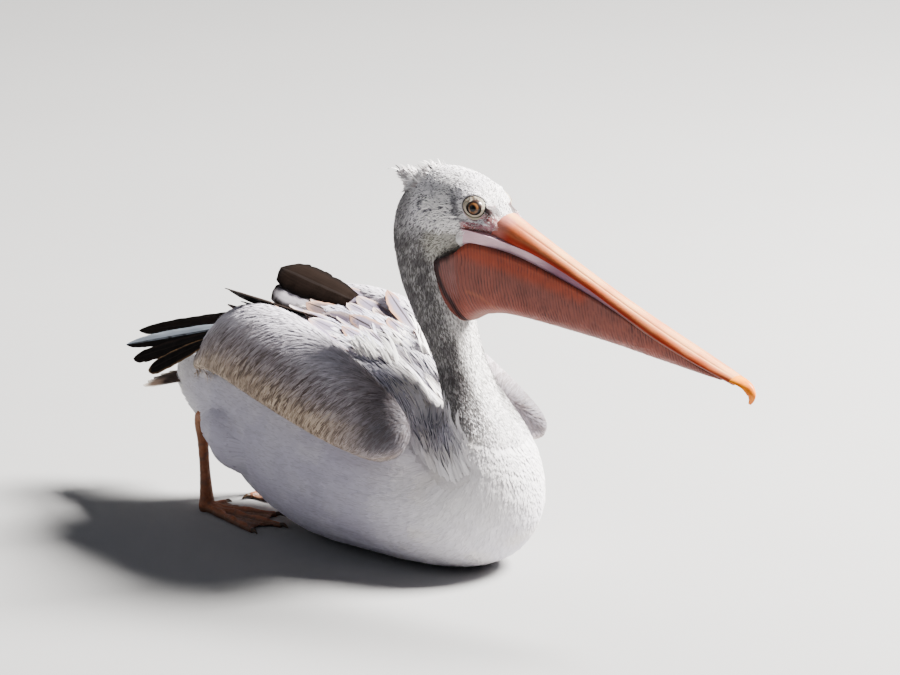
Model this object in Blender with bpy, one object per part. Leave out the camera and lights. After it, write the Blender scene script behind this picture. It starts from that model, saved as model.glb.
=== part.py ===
"""A pink-backed pelican at life size, resting on its belly with its feet tucked under it.

The bird faces -Y, its left side is +X and +Z is up. The floor is z = 0, and the origin is
the middle of the flat on its belly. All lengths are metres.
"""

import math

import bmesh
import bpy
from mathutils import Matrix, Vector

GAP = 0.0004                 # clearance left where two pieces meet
BODY_SIDES = 24              # sides of a ring round the head, neck and trunk
WING_SIDES = 16
BILL_SIDES = 10
CREST_SIDES = 12
LEG_SIDES = 9
TOE_SIDES = 6
BODY_RINGS_PER_STEP = 2      # rings from one body station to the next

# Body stations, tail to bill. Each is a ring through the back line (y, z) and the belly
# line (y, z), with its half width, and how far below the middle it is widest (0 to 1).
BODY = {
    "tail_root":    ((0.272, 0.150), (0.272, 0.114), 0.024, 0.00),
    "rump":         ((0.244, 0.166), (0.238, 0.086), 0.043, 0.00),
    "hip":          ((0.198, 0.181), (0.186, 0.055), 0.062, 0.00),
    "loin":         ((0.138, 0.196), (0.128, 0.019), 0.082, 0.05),
    "back":         ((0.060, 0.206), (0.052, -0.004), 0.099, 0.10),
    "middle":       ((-0.010, 0.199), (-0.038, -0.005), 0.105, 0.12),
    "shoulder":     ((-0.058, 0.181), (-0.122, -0.003), 0.096, 0.12),
    "breast_low":   ((-0.088, 0.166), (-0.175, 0.013), 0.079, 0.10),
    "breast_front": ((-0.103, 0.159), (-0.206, 0.054), 0.063, 0.05),
    "breast_top":   ((-0.109, 0.159), (-0.210, 0.100), 0.052, 0.00),
    "neck_base":    ((-0.1095, 0.166), (-0.192, 0.141), 0.042, 0.00),
    "neck_low":     ((-0.1030, 0.180), (-0.161, 0.177), 0.034, 0.00),
    "neck_narrow":  ((-0.091, 0.203), (-0.141, 0.211), 0.0275, 0.00),
    "neck_middle":  ((-0.070, 0.235), (-0.128, 0.246), 0.0290, 0.00),
    "neck_high":    ((-0.046, 0.276), (-0.112, 0.284), 0.0305, 0.00),
    "nape":         ((-0.034, 0.316), (-0.110, 0.310), 0.0310, 0.00),
    "head_rear":    ((-0.036, 0.353), (-0.117, 0.317), 0.0315, 0.10),
    "crown_rear":   ((-0.058, 0.384), (-0.128, 0.321), 0.0325, 0.10),
    "crown":        ((-0.090, 0.400), (-0.138, 0.326), 0.0335, 0.10),
    "forecrown":    ((-0.1235, 0.4000), (-0.150, 0.332), 0.0325, 0.10),
    "brow":         ((-0.1495, 0.3925), (-0.166, 0.338), 0.0290, 0.10),
    "forehead":     ((-0.1705, 0.3775), (-0.182, 0.342), 0.0232, 0.10),
    "face":         ((-0.1850, 0.3600), (-0.194, 0.341), 0.0170, 0.10),
}
# The body is parted at these stations, in order from the tail.
BODY_PARTS = (
    ("trunk", "tail_root", "neck_base"),
    ("neck_lower", "neck_base", "neck_middle"),
    ("neck_upper", "neck_middle", "nape"),
    ("head", "nape", "face"),
)
BELLY_FLAT_Z = 0.0           # the belly is pressed flat at the floor

# The bill runs from the forehead feathers along a sloping, slightly sagging culmen.
BILL_ROOT = Vector((0.0, -0.1940, 0.3625))
BILL_LENGTH = 0.330
BILL_PITCH = math.radians(19.7)
BILL_ALONG = Vector((0.0, -math.cos(BILL_PITCH), -math.sin(BILL_PITCH)))
BILL_UP = Vector((0.0, -math.sin(BILL_PITCH), math.cos(BILL_PITCH)))
BILL_SAG = 0.0045
# Upper bill: share of the length, half width, depth under the culmen.
UPPER_BILL = (
    (-0.03, 0.0195, 0.0203),
    (0.04, 0.0172, 0.0172),
    (0.12, 0.0148, 0.0124),
    (0.22, 0.0132, 0.0090),
    (0.36, 0.0122, 0.0070),
    (0.50, 0.0126, 0.0070),
    (0.64, 0.0137, 0.0072),
    (0.76, 0.0137, 0.0062),
    (0.86, 0.0122, 0.0052),
    (0.94, 0.0098, 0.0048),
)
# Lower bill: share, half width, top edge under the culmen, depth.
LOWER_BILL = (
    (-0.132, 0.0320, 0.0298, 0.0165),
    (-0.090, 0.0300, 0.0248, 0.0172),
    (-0.040, 0.0262, 0.0208, 0.0172),
    (0.040, 0.0176, 0.0172, 0.0160),
    (0.120, 0.0142, 0.0124, 0.0148),
    (0.220, 0.0124, 0.0090, 0.0128),
    (0.360, 0.0114, 0.0070, 0.0088),
    (0.500, 0.0118, 0.0070, 0.0058),
    (0.640, 0.0128, 0.0072, 0.0044),
    (0.760, 0.0128, 0.0062, 0.0036),
    (0.860, 0.0112, 0.0052, 0.0030),
    (0.950, 0.0080, 0.0048, 0.0026),
)
# The hooked nail: metres along the bill, metres over the culmen, half width as a share of
# the upper bill's at the joint, thickness.
NAIL = (
    (0.3180, 0.0006, 0.88, 0.0048),
    (0.3260, 0.0002, 0.72, 0.0053),
    (0.3325, -0.0022, 0.58, 0.0062),
    (0.3372, -0.0070, 0.46, 0.0056),
    (0.3376, -0.0130, 0.32, 0.0046),
    (0.3352, -0.0185, 0.16, 0.0022),
)
# The pouch hangs from the lower bill. Top line (y, z), bottom line (y, z), half width.
POUCH = (
    ((-0.096, 0.3060), (-0.118, 0.2460), 0.0200),
    ((-0.123, 0.3170), (-0.136, 0.2503), 0.0280),
    ((-0.139, 0.3240), (-0.146, 0.2555), 0.0322),
    ((-0.156, 0.3360), (-0.158, 0.2605), 0.0308),
    ((-0.182, 0.3350), (-0.184, 0.2650), 0.0268),
    ((-0.215, 0.3290), (-0.219, 0.2650), 0.0212),
    ((-0.262, 0.3170), (-0.268, 0.2630), 0.0158),
    ((-0.320, 0.3010), (-0.326, 0.2600), 0.0132),
    ((-0.385, 0.2790), (-0.390, 0.2550), 0.0122),
    ((-0.440, 0.2610), (-0.443, 0.2512), 0.0100),
    ((-0.466, 0.2535), (-0.468, 0.2496), 0.0070),
)

EYE_RADIUS = 0.0088
EYE_CENTRE = Vector((0.0214, -0.1580, 0.3700))

# Folded wing stations, wrist to rear: y, centre x and z, half thickness, half height,
# and the lean of the top towards the back in degrees.
WING = (
    (-0.1370, 0.0960, 0.1450, 0.0050, 0.0080, 36),
    (-0.1300, 0.0955, 0.1450, 0.0140, 0.0200, 37),
    (-0.1110, 0.0935, 0.1475, 0.0215, 0.0325, 37),
    (-0.0800, 0.0925, 0.1560, 0.0260, 0.0400, 37),
    (-0.0280, 0.0910, 0.1720, 0.0285, 0.0470, 36),
    (0.0300, 0.0875, 0.1880, 0.0290, 0.0505, 36),
    (0.0800, 0.0820, 0.1965, 0.0270, 0.0490, 35),
    (0.1250, 0.0740, 0.1970, 0.0230, 0.0430, 34),
    (0.1600, 0.0650, 0.1890, 0.0170, 0.0350, 31),
    (0.1900, 0.0570, 0.1740, 0.0110, 0.0230, 27),
    (0.2120, 0.0520, 0.1560, 0.0045, 0.0100, 25),
)
# The left wing hangs lower at the wrist than the right one, and its tertials stand higher.
WRIST_DROOP = {"left": 0.019, "right": 0.0}
DROOP_ENDS_AT_Y = 0.050
TERTIAL_SHIFT = {"left": Vector((0, 0, 0)), "right": Vector((0, -0.016, -0.004))}
# Shoulder feathers between wing and back: y, centre x and z, half thickness, half width, roll.
MANTLE = (
    (-0.104, 0.028, 0.148, 0.0040, 0.0080, 30),
    (-0.092, 0.032, 0.158, 0.0100, 0.0200, 28),
    (-0.065, 0.034, 0.173, 0.0140, 0.0290, 24),
    (-0.020, 0.034, 0.193, 0.0160, 0.0325, 18),
    (0.030, 0.034, 0.206, 0.0160, 0.0325, 12),
    (0.080, 0.032, 0.211, 0.0140, 0.0300, 8),
    (0.120, 0.030, 0.211, 0.0100, 0.0240, 5),
    (0.145, 0.028, 0.209, 0.0050, 0.0120, 4),
)

BLADE_THICK = 0.0020
BLADE_DISH = 0.08            # how far a vane's edges curl down, as a share of its half width
BLADE_OUTLINE = ((0.0, 0.55), (0.3, 0.85), (0.65, 1.0), (0.85, 0.86), (0.95, 0.56), (1.0, 0.22))
# Large flight feathers of one side: name, root, tip, half width, direction the face looks.
TERTIAL_FACE = (-0.50, -0.10, 0.85)
PRIMARY_FACE = (0.80, 0.08, 0.59)
BLADES = (
    ("tertial_1", (0.018, 0.080, 0.2200), (0.030, 0.176, 0.2270), 0.0190, TERTIAL_FACE),
    ("tertial_2", (0.034, 0.086, 0.2345), (0.046, 0.184, 0.2420), 0.0190, TERTIAL_FACE),
    ("primary_1", (0.036, 0.160, 0.2050), (0.006, 0.345, 0.1570), 0.0085, PRIMARY_FACE),
    ("primary_2", (0.045, 0.170, 0.1980), (0.024, 0.345, 0.1450), 0.0085, PRIMARY_FACE),
    ("primary_3", (0.054, 0.180, 0.1900), (0.045, 0.311, 0.1400), 0.0090, PRIMARY_FACE),
    ("primary_4", (0.064, 0.186, 0.1820), (0.067, 0.265, 0.1400), 0.0100, PRIMARY_FACE),
)

# The ragged tuft at the back of the crown: centre y and z, half width, half depth.
CREST = (
    (-0.076, 0.374, 0.0160, 0.0120),
    (-0.062, 0.378, 0.0170, 0.0130),
    (-0.046, 0.381, 0.0150, 0.0110),
    (-0.034, 0.3825, 0.0100, 0.0070),
    (-0.028, 0.3835, 0.0040, 0.0025),
)

# Tail fan: distance behind its root, half width, half thickness.
TAIL_ROOT = Vector((0.0, 0.236, 0.1310))
TAIL_SLOPE = math.radians(-11)
TAIL = (
    (0.000, 0.0240, 0.0120),
    (0.025, 0.0340, 0.0105),
    (0.050, 0.0420, 0.0060),
    (0.068, 0.0440, 0.0030),
    (0.076, 0.0400, 0.0020),
)

# Leg of one side, down from the feathered thigh to the flat foot.
THIGH = (
    (0.100, 0.062, 0.086, 0.022, 0.028),
    (0.122, 0.066, 0.090, 0.029, 0.034),
    (0.150, 0.064, 0.094, 0.028, 0.033),
    (0.176, 0.056, 0.098, 0.020, 0.023),
    (0.196, 0.049, 0.101, 0.010, 0.012),
)
ANKLE = Vector((0.046, 0.209, 0.100))
HEEL = Vector((0.046, 0.202, 0.0130))
TARSUS_RADIUS = 0.0068
# Thickness along the shank and along a toe: share of its length, share of the radius.
TARSUS_SWELL = ((0.0, 0.95), (0.12, 1.15), (0.3, 0.95), (0.6, 0.85), (0.85, 0.95), (0.97, 1.1))
TOE_SWELL = ((-0.04, 1.05), (0.15, 1.0), (0.4, 0.85), (0.7, 0.75), (0.92, 0.68), (1.0, 0.5))
TOE_RADIUS = 0.0050
HEEL_KNOB = ((0.0, 0.0078), (0.004, 0.0082), (0.009, 0.0074), (0.0115, 0.0066))
# A claw: share of its length, height of its middle, radius.
CLAW = ((0.0, 0.0030, 0.0021), (0.4, 0.0036, 0.0018), (0.8, 0.0022, 0.0010), (1.0, 0.0012, 0.0005))
CLAW_LENGTH = 0.010
# Each toe: name, length, angle from straight ahead (outward is positive), in degrees.
TOES = (
    ("hind", 0.030, -96),
    ("inner", 0.076, -27),
    ("middle", 0.101, -5),
    ("outer", 0.098, 15),
)
WEB_THICK = 0.0024
WEB_LIFT = 0.0006            # height of the web's underside over the floor
WEB_AT_TOE = 0.06            # how far short of a toe's tip the web stops, as a share
WEB_BETWEEN_TOES = 0.17      # how far it is scooped back halfway between two tips
WEB_BACK = 0.007             # its rear corner: metres behind the heel, and the direction
WEB_BACK_ANGLE = 140

PLUMAGE = ((0.78, 0.75, 0.72), 0.85)
FLIGHT = ((0.10, 0.075, 0.060), 0.65)
COVERT = ((0.52, 0.45, 0.38), 0.8)
POUCH_SKIN = ((0.66, 0.33, 0.26), 0.45)
BILL_HORN = ((0.86, 0.66, 0.55), 0.35)
NAIL_HORN = ((0.93, 0.62, 0.10), 0.3)
EYE_COLOUR = ((0.30, 0.15, 0.07), 0.1)
LEG_SKIN = ((0.50, 0.33, 0.22), 0.55)
CLAW_HORN = ((0.10, 0.08, 0.07), 0.4)


def clear_scene():
    for obj in list(bpy.data.objects):
        bpy.data.objects.remove(obj)


def new_collection(name):
    made = bpy.data.collections.new(name)
    bpy.context.scene.collection.children.link(made)
    return made


def finish_material(name, colour, roughness):
    made = bpy.data.materials.get(name)
    if made is None:
        made = bpy.data.materials.new(name)
        made.use_nodes = True
        shader = made.node_tree.nodes["Principled BSDF"]
        shader.inputs["Base Color"].default_value = (*colour, 1.0)
        shader.inputs["Roughness"].default_value = roughness
        shader.inputs["Metallic"].default_value = 0.0
    return made


def smooth_rows(rows, steps=2):
    """Rows of numbers with `steps` rows per interval, on a Catmull-Rom curve through them."""
    out = []
    last = len(rows) - 1
    for i in range(last):
        before, a, b, after = rows[max(i - 1, 0)], rows[i], rows[i + 1], rows[min(i + 2, last)]
        for k in range(steps):
            t = k / steps
            out.append(tuple(
                0.5 * (2 * q + (r - p) * t + (2 * p - 5 * q + 4 * r - s) * t * t
                       + (3 * q - p - 3 * r + s) * t ** 3)
                for p, q, r, s in zip(before, a, b, after)
            ))
    out.append(tuple(rows[last]))
    return out


def object_from(name, mesh, finish, home):
    obj = bpy.data.objects.new(name, mesh)
    home.objects.link(obj)
    mesh.materials.clear()
    mesh.materials.append(finish_material(*finish))
    mesh.shade_smooth()
    mesh.set_sharp_from_angle(angle=math.radians(50))
    return obj


def loft(name, rings, finish, home):
    """A closed solid through rings of equal count, capped flat at both ends."""
    bm = bmesh.new()
    rows = [[bm.verts.new(point) for point in ring] for ring in rings]
    sides = len(rows[0])
    for a, b in zip(rows, rows[1:]):
        for i in range(sides):
            j = (i + 1) % sides
            bm.faces.new((a[i], a[j], b[j], b[i]))
    bm.faces.new(rows[0])
    bm.faces.new(rows[-1])
    bmesh.ops.recalc_face_normals(bm, faces=bm.faces)
    mesh = bpy.data.meshes.new(name)
    bm.to_mesh(mesh)
    bm.free()
    return object_from(name, mesh, finish, home)


def on_side(obj, side):
    """Names a piece made for the left for its side, and mirrors it if that is the right."""
    obj.name = f"{obj.name}_{side}"
    if side == "right":
        obj.data.transform(Matrix.Scale(-1, 4, (1, 0, 0)))
        obj.data.flip_normals()
    return obj


def largest_body(mesh):
    """Deletes all but the largest connected body of a mesh, as a cut can leave crumbs."""
    bm = bmesh.new()
    bm.from_mesh(mesh)
    left, bodies = set(bm.verts), []
    while left:
        stack = [left.pop()]
        body = set(stack)
        while stack:
            for edge in stack.pop().link_edges:
                for vert in edge.verts:
                    if vert in left:
                        left.discard(vert)
                        body.add(vert)
                        stack.append(vert)
        bodies.append(body)
    bodies.sort(key=len)
    for body in bodies[:-1]:
        bmesh.ops.delete(bm, geom=list(body), context="VERTS")
    bm.to_mesh(mesh)
    bm.free()


def evaluated_mesh(obj):
    bpy.context.view_layer.update()
    graph = bpy.context.evaluated_depsgraph_get()
    return bpy.data.meshes.new_from_object(obj.evaluated_get(graph))


def swollen(obj, by, home):
    """A hidden copy of obj grown along its normals, for cutting its neighbours."""
    mesh = obj.data.copy()
    bm = bmesh.new()
    bm.from_mesh(mesh)
    bm.normal_update()
    moves = [vert.normal * by for vert in bm.verts]
    for vert, move in zip(bm.verts, moves):
        vert.co += move
    bm.to_mesh(mesh)
    bm.free()
    cutter = bpy.data.objects.new(obj.name + "_cutter", mesh)
    home.objects.link(cutter)
    cutter.hide_render = True
    cutter.display_type = "WIRE"
    return cutter


def cut_by(obj, *cutters):
    """Takes the cutters out of obj and keeps the largest body that is left."""
    for cutter in cutters:
        cut = obj.modifiers.new("cut", "BOOLEAN")
        cut.operation = "DIFFERENCE"
        cut.solver = "EXACT"
        cut.object = cutter
    mesh = evaluated_mesh(obj)
    obj.modifiers.clear()
    obj.data = mesh
    largest_body(mesh)


def body_rings():
    """(station name or None, ring) for every ring of the body, tail to bill."""
    names = list(BODY)
    rows = [(*back, *belly, half, low) for back, belly, half, low in BODY.values()]
    out = []
    for i, row in enumerate(smooth_rows(rows, BODY_RINGS_PER_STEP)):
        back, belly = Vector((0, row[0], row[1])), Vector((0, row[2], row[3]))
        middle, up = (back + belly) / 2, (back - belly) / 2
        ring = []
        for k in range(BODY_SIDES):
            turn = 2 * math.pi * k / BODY_SIDES
            height = math.cos(turn) - row[5] * math.sin(turn) ** 2
            point = middle + up * height + Vector((row[4] * math.sin(turn), 0, 0))
            point.z = max(point.z, BELLY_FLAT_Z)
            ring.append(point)
        on_station = i % BODY_RINGS_PER_STEP == 0
        out.append((names[i // BODY_RINGS_PER_STEP] if on_station else None, ring))
    return out


def build_body(home):
    rings = body_rings()
    places = {name: i for i, (name, _) in enumerate(rings) if name}
    made = {}
    for name, first, last in BODY_PARTS:
        part = [list(ring) for _, ring in rings[places[first]:places[last] + 1]]
        if last != BODY_PARTS[-1][2]:      # a thin cut parts it from the next piece
            share = GAP / (part[-1][0] - part[-2][0]).length
            part[-1] = [p.lerp(q, share) for p, q in zip(part[-1], part[-2])]
            floor = (part[-1][BODY_SIDES // 2] - part[-2][BODY_SIDES // 2]).length
            share = max(share, GAP / floor)
            part[-1] = [p.lerp(q, share) for p, q in zip(part[-1], part[-2])]
        made[name] = loft(name, part, ("plumage", *PLUMAGE), home)
    return made


def bill_point(share, side, up):
    """A point of the bill: share of its length, metres to the side, metres over the culmen."""
    sag = BILL_SAG * math.sin(math.pi * min(max(share, 0.0), 1.0))
    return BILL_ROOT + BILL_ALONG * (share * BILL_LENGTH) + BILL_UP * (up - sag) + Vector((side, 0, 0))


def upper_bill_ring(share, half, depth):
    """A low roof from one cutting edge over the culmen to the other, and a flat palate."""
    arch = []
    for k in range(BILL_SIDES + 1):
        turn = math.pi * k / BILL_SIDES
        arch.append(bill_point(share, half * math.cos(turn), depth * (math.sin(turn) - 1)))
    inside = [bill_point(share, half * s, -depth) for s in (-0.5, 0.0, 0.5)]
    return arch + inside


def lower_bill_ring(share, half, top, depth):
    floor = []
    for k in range(BILL_SIDES + 1):
        turn = math.pi * k / BILL_SIDES
        drop = top + GAP + depth * math.sin(turn) ** 0.3
        floor.append(bill_point(share, half * math.cos(turn), -drop))
    return floor + [bill_point(share, half * s, -top - GAP) for s in (-0.5, 0.0, 0.5)]


def build_bill(home):
    upper = loft("bill_upper", [upper_bill_ring(*row) for row in UPPER_BILL],
                 ("bill_horn", *BILL_HORN), home)
    lower = loft("bill_lower", [lower_bill_ring(*row) for row in LOWER_BILL],
                 ("bill_horn", *BILL_HORN), home)
    return upper, lower, build_nail(UPPER_BILL[-1], home)


def build_nail(joint, home):
    """The hooked nail, a horn cap that curls down over the tip of the lower bill."""
    share, half, depth = joint
    start = share * BILL_LENGTH + GAP
    hook = [(start, 0.0, half, depth)]
    hook += [(along, up, half * wide, thick) for along, up, wide, thick in NAIL]
    rings = []
    for i, (along, up, wide, thick) in enumerate(hook):
        before, after = hook[max(i - 1, 0)], hook[min(i + 1, len(hook) - 1)]
        heading = Vector((after[0] - before[0], after[1] - before[1])).normalized()
        if i == 0:
            heading = Vector((1.0, 0.0))
        down = Vector((heading.y, -heading.x))
        ring = []
        for k in range(BILL_SIDES + 1):
            turn = math.pi * k / BILL_SIDES
            drop = down * (thick * (1 - math.sin(turn)))
            ring.append(bill_point((along + drop.x) / BILL_LENGTH, wide * math.cos(turn), up + drop.y))
        palate = down * thick
        for s in (-0.5, 0.0, 0.5):
            ring.append(bill_point((along + palate.x) / BILL_LENGTH, wide * s, up + palate.y))
        rings.append(ring)
    return loft("bill_nail", rings, ("nail_horn", *NAIL_HORN), home)


def build_pouch(home):
    rings = []
    for (top_y, top_z), (low_y, low_z), half in POUCH:
        top, low = Vector((0, top_y, top_z)), Vector((0, low_y, low_z))
        ring = []
        for k in range(BILL_SIDES + 1):
            turn = math.pi * k / BILL_SIDES
            hang = math.sin(turn) ** 0.72
            ring.append(top.lerp(low, hang) + Vector((half * math.cos(turn), 0, 0)))
        ring += [top + Vector((half * s, 0, 0)) for s in (-0.5, 0.0, 0.5)]
        rings.append(ring)
    return loft("pouch", rings, ("pouch_skin", *POUCH_SKIN), home)


def tilted_ring(y, x, z, thick, tall, lean, sides):
    """An oval in a plane across the bird, tall along a direction leaning to the middle."""
    turn = math.radians(lean)
    up = Vector((-math.sin(turn), 0, math.cos(turn)))
    out = Vector((math.cos(turn), 0, math.sin(turn)))
    middle = Vector((x, y, z))
    return [
        middle + up * (tall * math.cos(a)) + out * (thick * math.sin(a))
        for a in (2 * math.pi * k / sides for k in range(sides))
    ]


def build_wing(side, home):
    rings = []
    for y, x, z, thick, tall, lean in smooth_rows(WING):
        reach = (DROOP_ENDS_AT_Y - y) / (DROOP_ENDS_AT_Y - WING[0][0])
        droop = WRIST_DROOP[side] * max(reach, 0.0) ** 1.5
        rings.append(tilted_ring(y, x, z - droop, thick, tall, lean, WING_SIDES))
    return loft("wing", rings, ("covert", *COVERT), home)


def build_mantle(home):
    rings = []
    for y, x, z, thick, wide, roll in smooth_rows(MANTLE):
        rings.append(tilted_ring(y, x, z, wide, thick, -roll, WING_SIDES))
    return loft("mantle", rings, ("covert", *COVERT), home)


def build_crest(home):
    rings = []
    for y, z, wide, deep in CREST:
        rings.append(tilted_ring(y, 0.0, z, wide, deep, 0, CREST_SIDES))
    return loft("crest", rings, ("plumage", *PLUMAGE), home)


def build_blade(name, root, tip, half, facing, side, home):
    """One large feather: a thin vane with a rounded tip, slightly dished."""
    shift = TERTIAL_SHIFT[side] if name.startswith("tertial") else Vector((0, 0, 0))
    root, tip = Vector(root) + shift, Vector(tip) + shift
    along = (tip - root).normalized()
    across = along.cross(Vector(facing)).normalized()
    face = across.cross(along).normalized()
    rings = []
    for share, width in BLADE_OUTLINE:
        centre = root.lerp(tip, share)
        ring = []
        for sway, over in ((-1, 0), (-0.5, 1), (0.5, 1), (1, 0), (0.5, -1), (-0.5, -1)):
            dish = face * (-BLADE_DISH * half * (sway * width) ** 2)
            thick = face * (BLADE_THICK / 2 * over)
            ring.append(centre + across * (half * width * sway) + thick + dish)
        rings.append(ring)
    return loft(name, rings, ("flight_feather", *FLIGHT), home)


def build_tail(home):
    rings = []
    for back, half, thick in TAIL:
        middle = TAIL_ROOT + Vector((0, math.cos(TAIL_SLOPE), math.sin(TAIL_SLOPE))) * back
        rings.append([
            middle + Vector((half * math.cos(a), 0, thick * math.sin(a) - 0.18 * half * math.cos(a) ** 2))
            for a in (2 * math.pi * k / WING_SIDES for k in range(WING_SIDES))
        ])
    return loft("tail", rings, ("flight_feather", *FLIGHT), home)


def build_thigh(home):
    rings = []
    for y, x, z, wide, tall in THIGH:
        rings.append(tilted_ring(y, x, z, wide, tall, 0, WING_SIDES))
    return loft("thigh", rings, ("plumage", *PLUMAGE), home)


def tube_rings(points, radii, sides, flat_z=None):
    """Rings round a path; with flat_z, the underside is pressed to that height."""
    rings = []
    for i, (point, radius) in enumerate(zip(points, radii)):
        heading = points[min(i + 1, len(points) - 1)] - points[max(i - 1, 0)]
        if flat_z is not None:
            heading.z = 0
        heading.normalize()
        across = heading.cross(Vector((0, 0, 1)))
        if across.length < 0.1:
            across = Vector((1, 0, 0))
        across.normalize()
        up = across.cross(heading).normalized()
        ring = []
        for k in range(sides):
            turn = 2 * math.pi * (k + 0.5) / sides
            spot = point + across * (radius * math.cos(turn)) + up * (radius * math.sin(turn))
            if flat_z is not None:
                spot.z = max(spot.z, flat_z)
            ring.append(spot)
        rings.append(ring)
    return rings


def build_tarsus(home):
    points = [ANKLE.lerp(HEEL, share) for share, _ in TARSUS_SWELL]
    rings = tube_rings(points, [TARSUS_RADIUS * swell for _, swell in TARSUS_SWELL], LEG_SIDES)
    return loft("tarsus", rings, ("leg_skin", *LEG_SKIN), home)


def toe_heading(angle):
    turn = math.radians(angle)
    return Vector((math.sin(turn), -math.cos(turn), 0))


def join_solids(target, others):
    for other in others:
        join = target.modifiers.new("join", "BOOLEAN")
        join.operation = "UNION"
        join.solver = "EXACT"
        join.object = other
    mesh = evaluated_mesh(target)
    target.modifiers.clear()
    target.data = mesh
    for other in others:
        bpy.data.objects.remove(other)
    largest_body(mesh)


def build_foot(home):
    """The four toes and the web that joins them all, in one piece, and the claws."""
    base = Vector((HEEL.x, HEEL.y, 0))
    pieces, claws, tips = [], [], []
    for name, length, angle in TOES:
        ahead = toe_heading(angle)
        radii = [TOE_RADIUS * swell for _, swell in TOE_SWELL]
        points = [base + ahead * (length * share) + Vector((0, 0, radius * 0.8))
                  for (share, _), radius in zip(TOE_SWELL, radii)]
        rings = tube_rings(points, radii, TOE_SIDES, 0.0)
        pieces.append(loft(name + "_toe", rings, ("leg_skin", *LEG_SKIN), home))
        tip = base + ahead * length
        tips.append(tip)
        claw_points = [tip + ahead * (GAP + CLAW_LENGTH * share) + Vector((0, 0, height))
                       for share, height, _ in CLAW]
        claw_rings = tube_rings(claw_points, [radius for _, _, radius in CLAW], TOE_SIDES, 0.0)
        claws.append(loft("claw_" + name, claw_rings, ("claw_horn", *CLAW_HORN), home))
    edge = [base + toe_heading(WEB_BACK_ANGLE) * WEB_BACK]
    for a, b in zip(tips, tips[1:]):
        edge += [a.lerp(base, WEB_AT_TOE), a.lerp(b, 0.5).lerp(base, WEB_BETWEEN_TOES)]
    edge += [tips[-1].lerp(base, WEB_AT_TOE)]
    rings = [[p + Vector((0, 0, z)) for p in edge] for z in (WEB_LIFT, WEB_LIFT + WEB_THICK)]
    web = loft("web", rings, ("leg_skin", *LEG_SKIN), home)
    heel_knob = loft("heel_knob", tube_rings(
        [base + Vector((0, 0, height)) for height, _ in HEEL_KNOB],
        [radius for _, radius in HEEL_KNOB], LEG_SIDES), ("leg_skin", *LEG_SKIN), home)
    foot = pieces[0]
    foot.name = "foot"
    join_solids(foot, pieces[1:] + [web, heel_knob])
    return foot, claws


def build_eye(home):
    bpy.ops.mesh.primitive_uv_sphere_add(segments=14, ring_count=7, radius=EYE_RADIUS,
                                         location=EYE_CENTRE)
    eye = bpy.context.active_object
    eye.name = "eye"
    for old in list(eye.users_collection):
        old.objects.unlink(eye)
    home.objects.link(eye)
    eye.data.transform(Matrix.Translation(EYE_CENTRE))
    eye.location = (0, 0, 0)
    eye.data.materials.append(finish_material("eye", *EYE_COLOUR))
    eye.data.shade_smooth()
    return eye


def build_side(side, body, tail, bird, cutters):
    """Wing, shoulder feathers, flight feathers and leg of one side, cut to fit each other."""
    def grown(obj, by=GAP):
        return swollen(obj, by, cutters)

    wing = on_side(build_wing(side, bird), side)
    mantle = on_side(build_mantle(bird), side)
    thigh = on_side(build_thigh(bird), side)
    tarsus = on_side(build_tarsus(bird), side)
    foot, claws = build_foot(bird)
    for piece in (foot, *claws):
        on_side(piece, side)
    trunk = grown(body["trunk"])
    cut_by(wing, trunk)
    wing_cutter = grown(wing)
    cut_by(thigh, trunk, wing_cutter)
    cut_by(mantle, grown(body["trunk"], 2.5 * GAP), wing_cutter, grown(body["neck_lower"]))
    cut_by(tarsus, grown(thigh), trunk, grown(foot))
    neighbours = [trunk, wing_cutter, grown(mantle), grown(tail)]
    for row in BLADES:
        blade = on_side(build_blade(*row, side, bird), side)
        cut_by(blade, *neighbours)


def main():
    clear_scene()
    bird = new_collection("pelican")
    cutters = new_collection("cutters")

    body = build_body(bird)
    upper, lower, nail = build_bill(bird)
    pouch, crest, tail = build_pouch(bird), build_crest(bird), build_tail(bird)
    eyes = [on_side(build_eye(bird), side) for side in ("left", "right")]

    def grown(obj, by=GAP):
        return swollen(obj, by, cutters)

    cut_by(body["head"], *[grown(eye) for eye in eyes])
    head = grown(body["head"])
    cut_by(crest, head)
    cut_by(upper, head)
    cut_by(lower, head, grown(upper), grown(nail))
    cut_by(pouch, head, grown(body["neck_upper"]), grown(body["neck_lower"]), grown(lower))
    cut_by(tail, grown(body["trunk"]))
    for side in ("left", "right"):
        build_side(side, body, tail, bird, cutters)


main()
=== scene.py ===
import itertools
import math
from types import SimpleNamespace

import bmesh
import bpy
import numpy as np
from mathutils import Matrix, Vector
from mathutils.bvhtree import BVHTree
from mathutils.kdtree import KDTree


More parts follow.
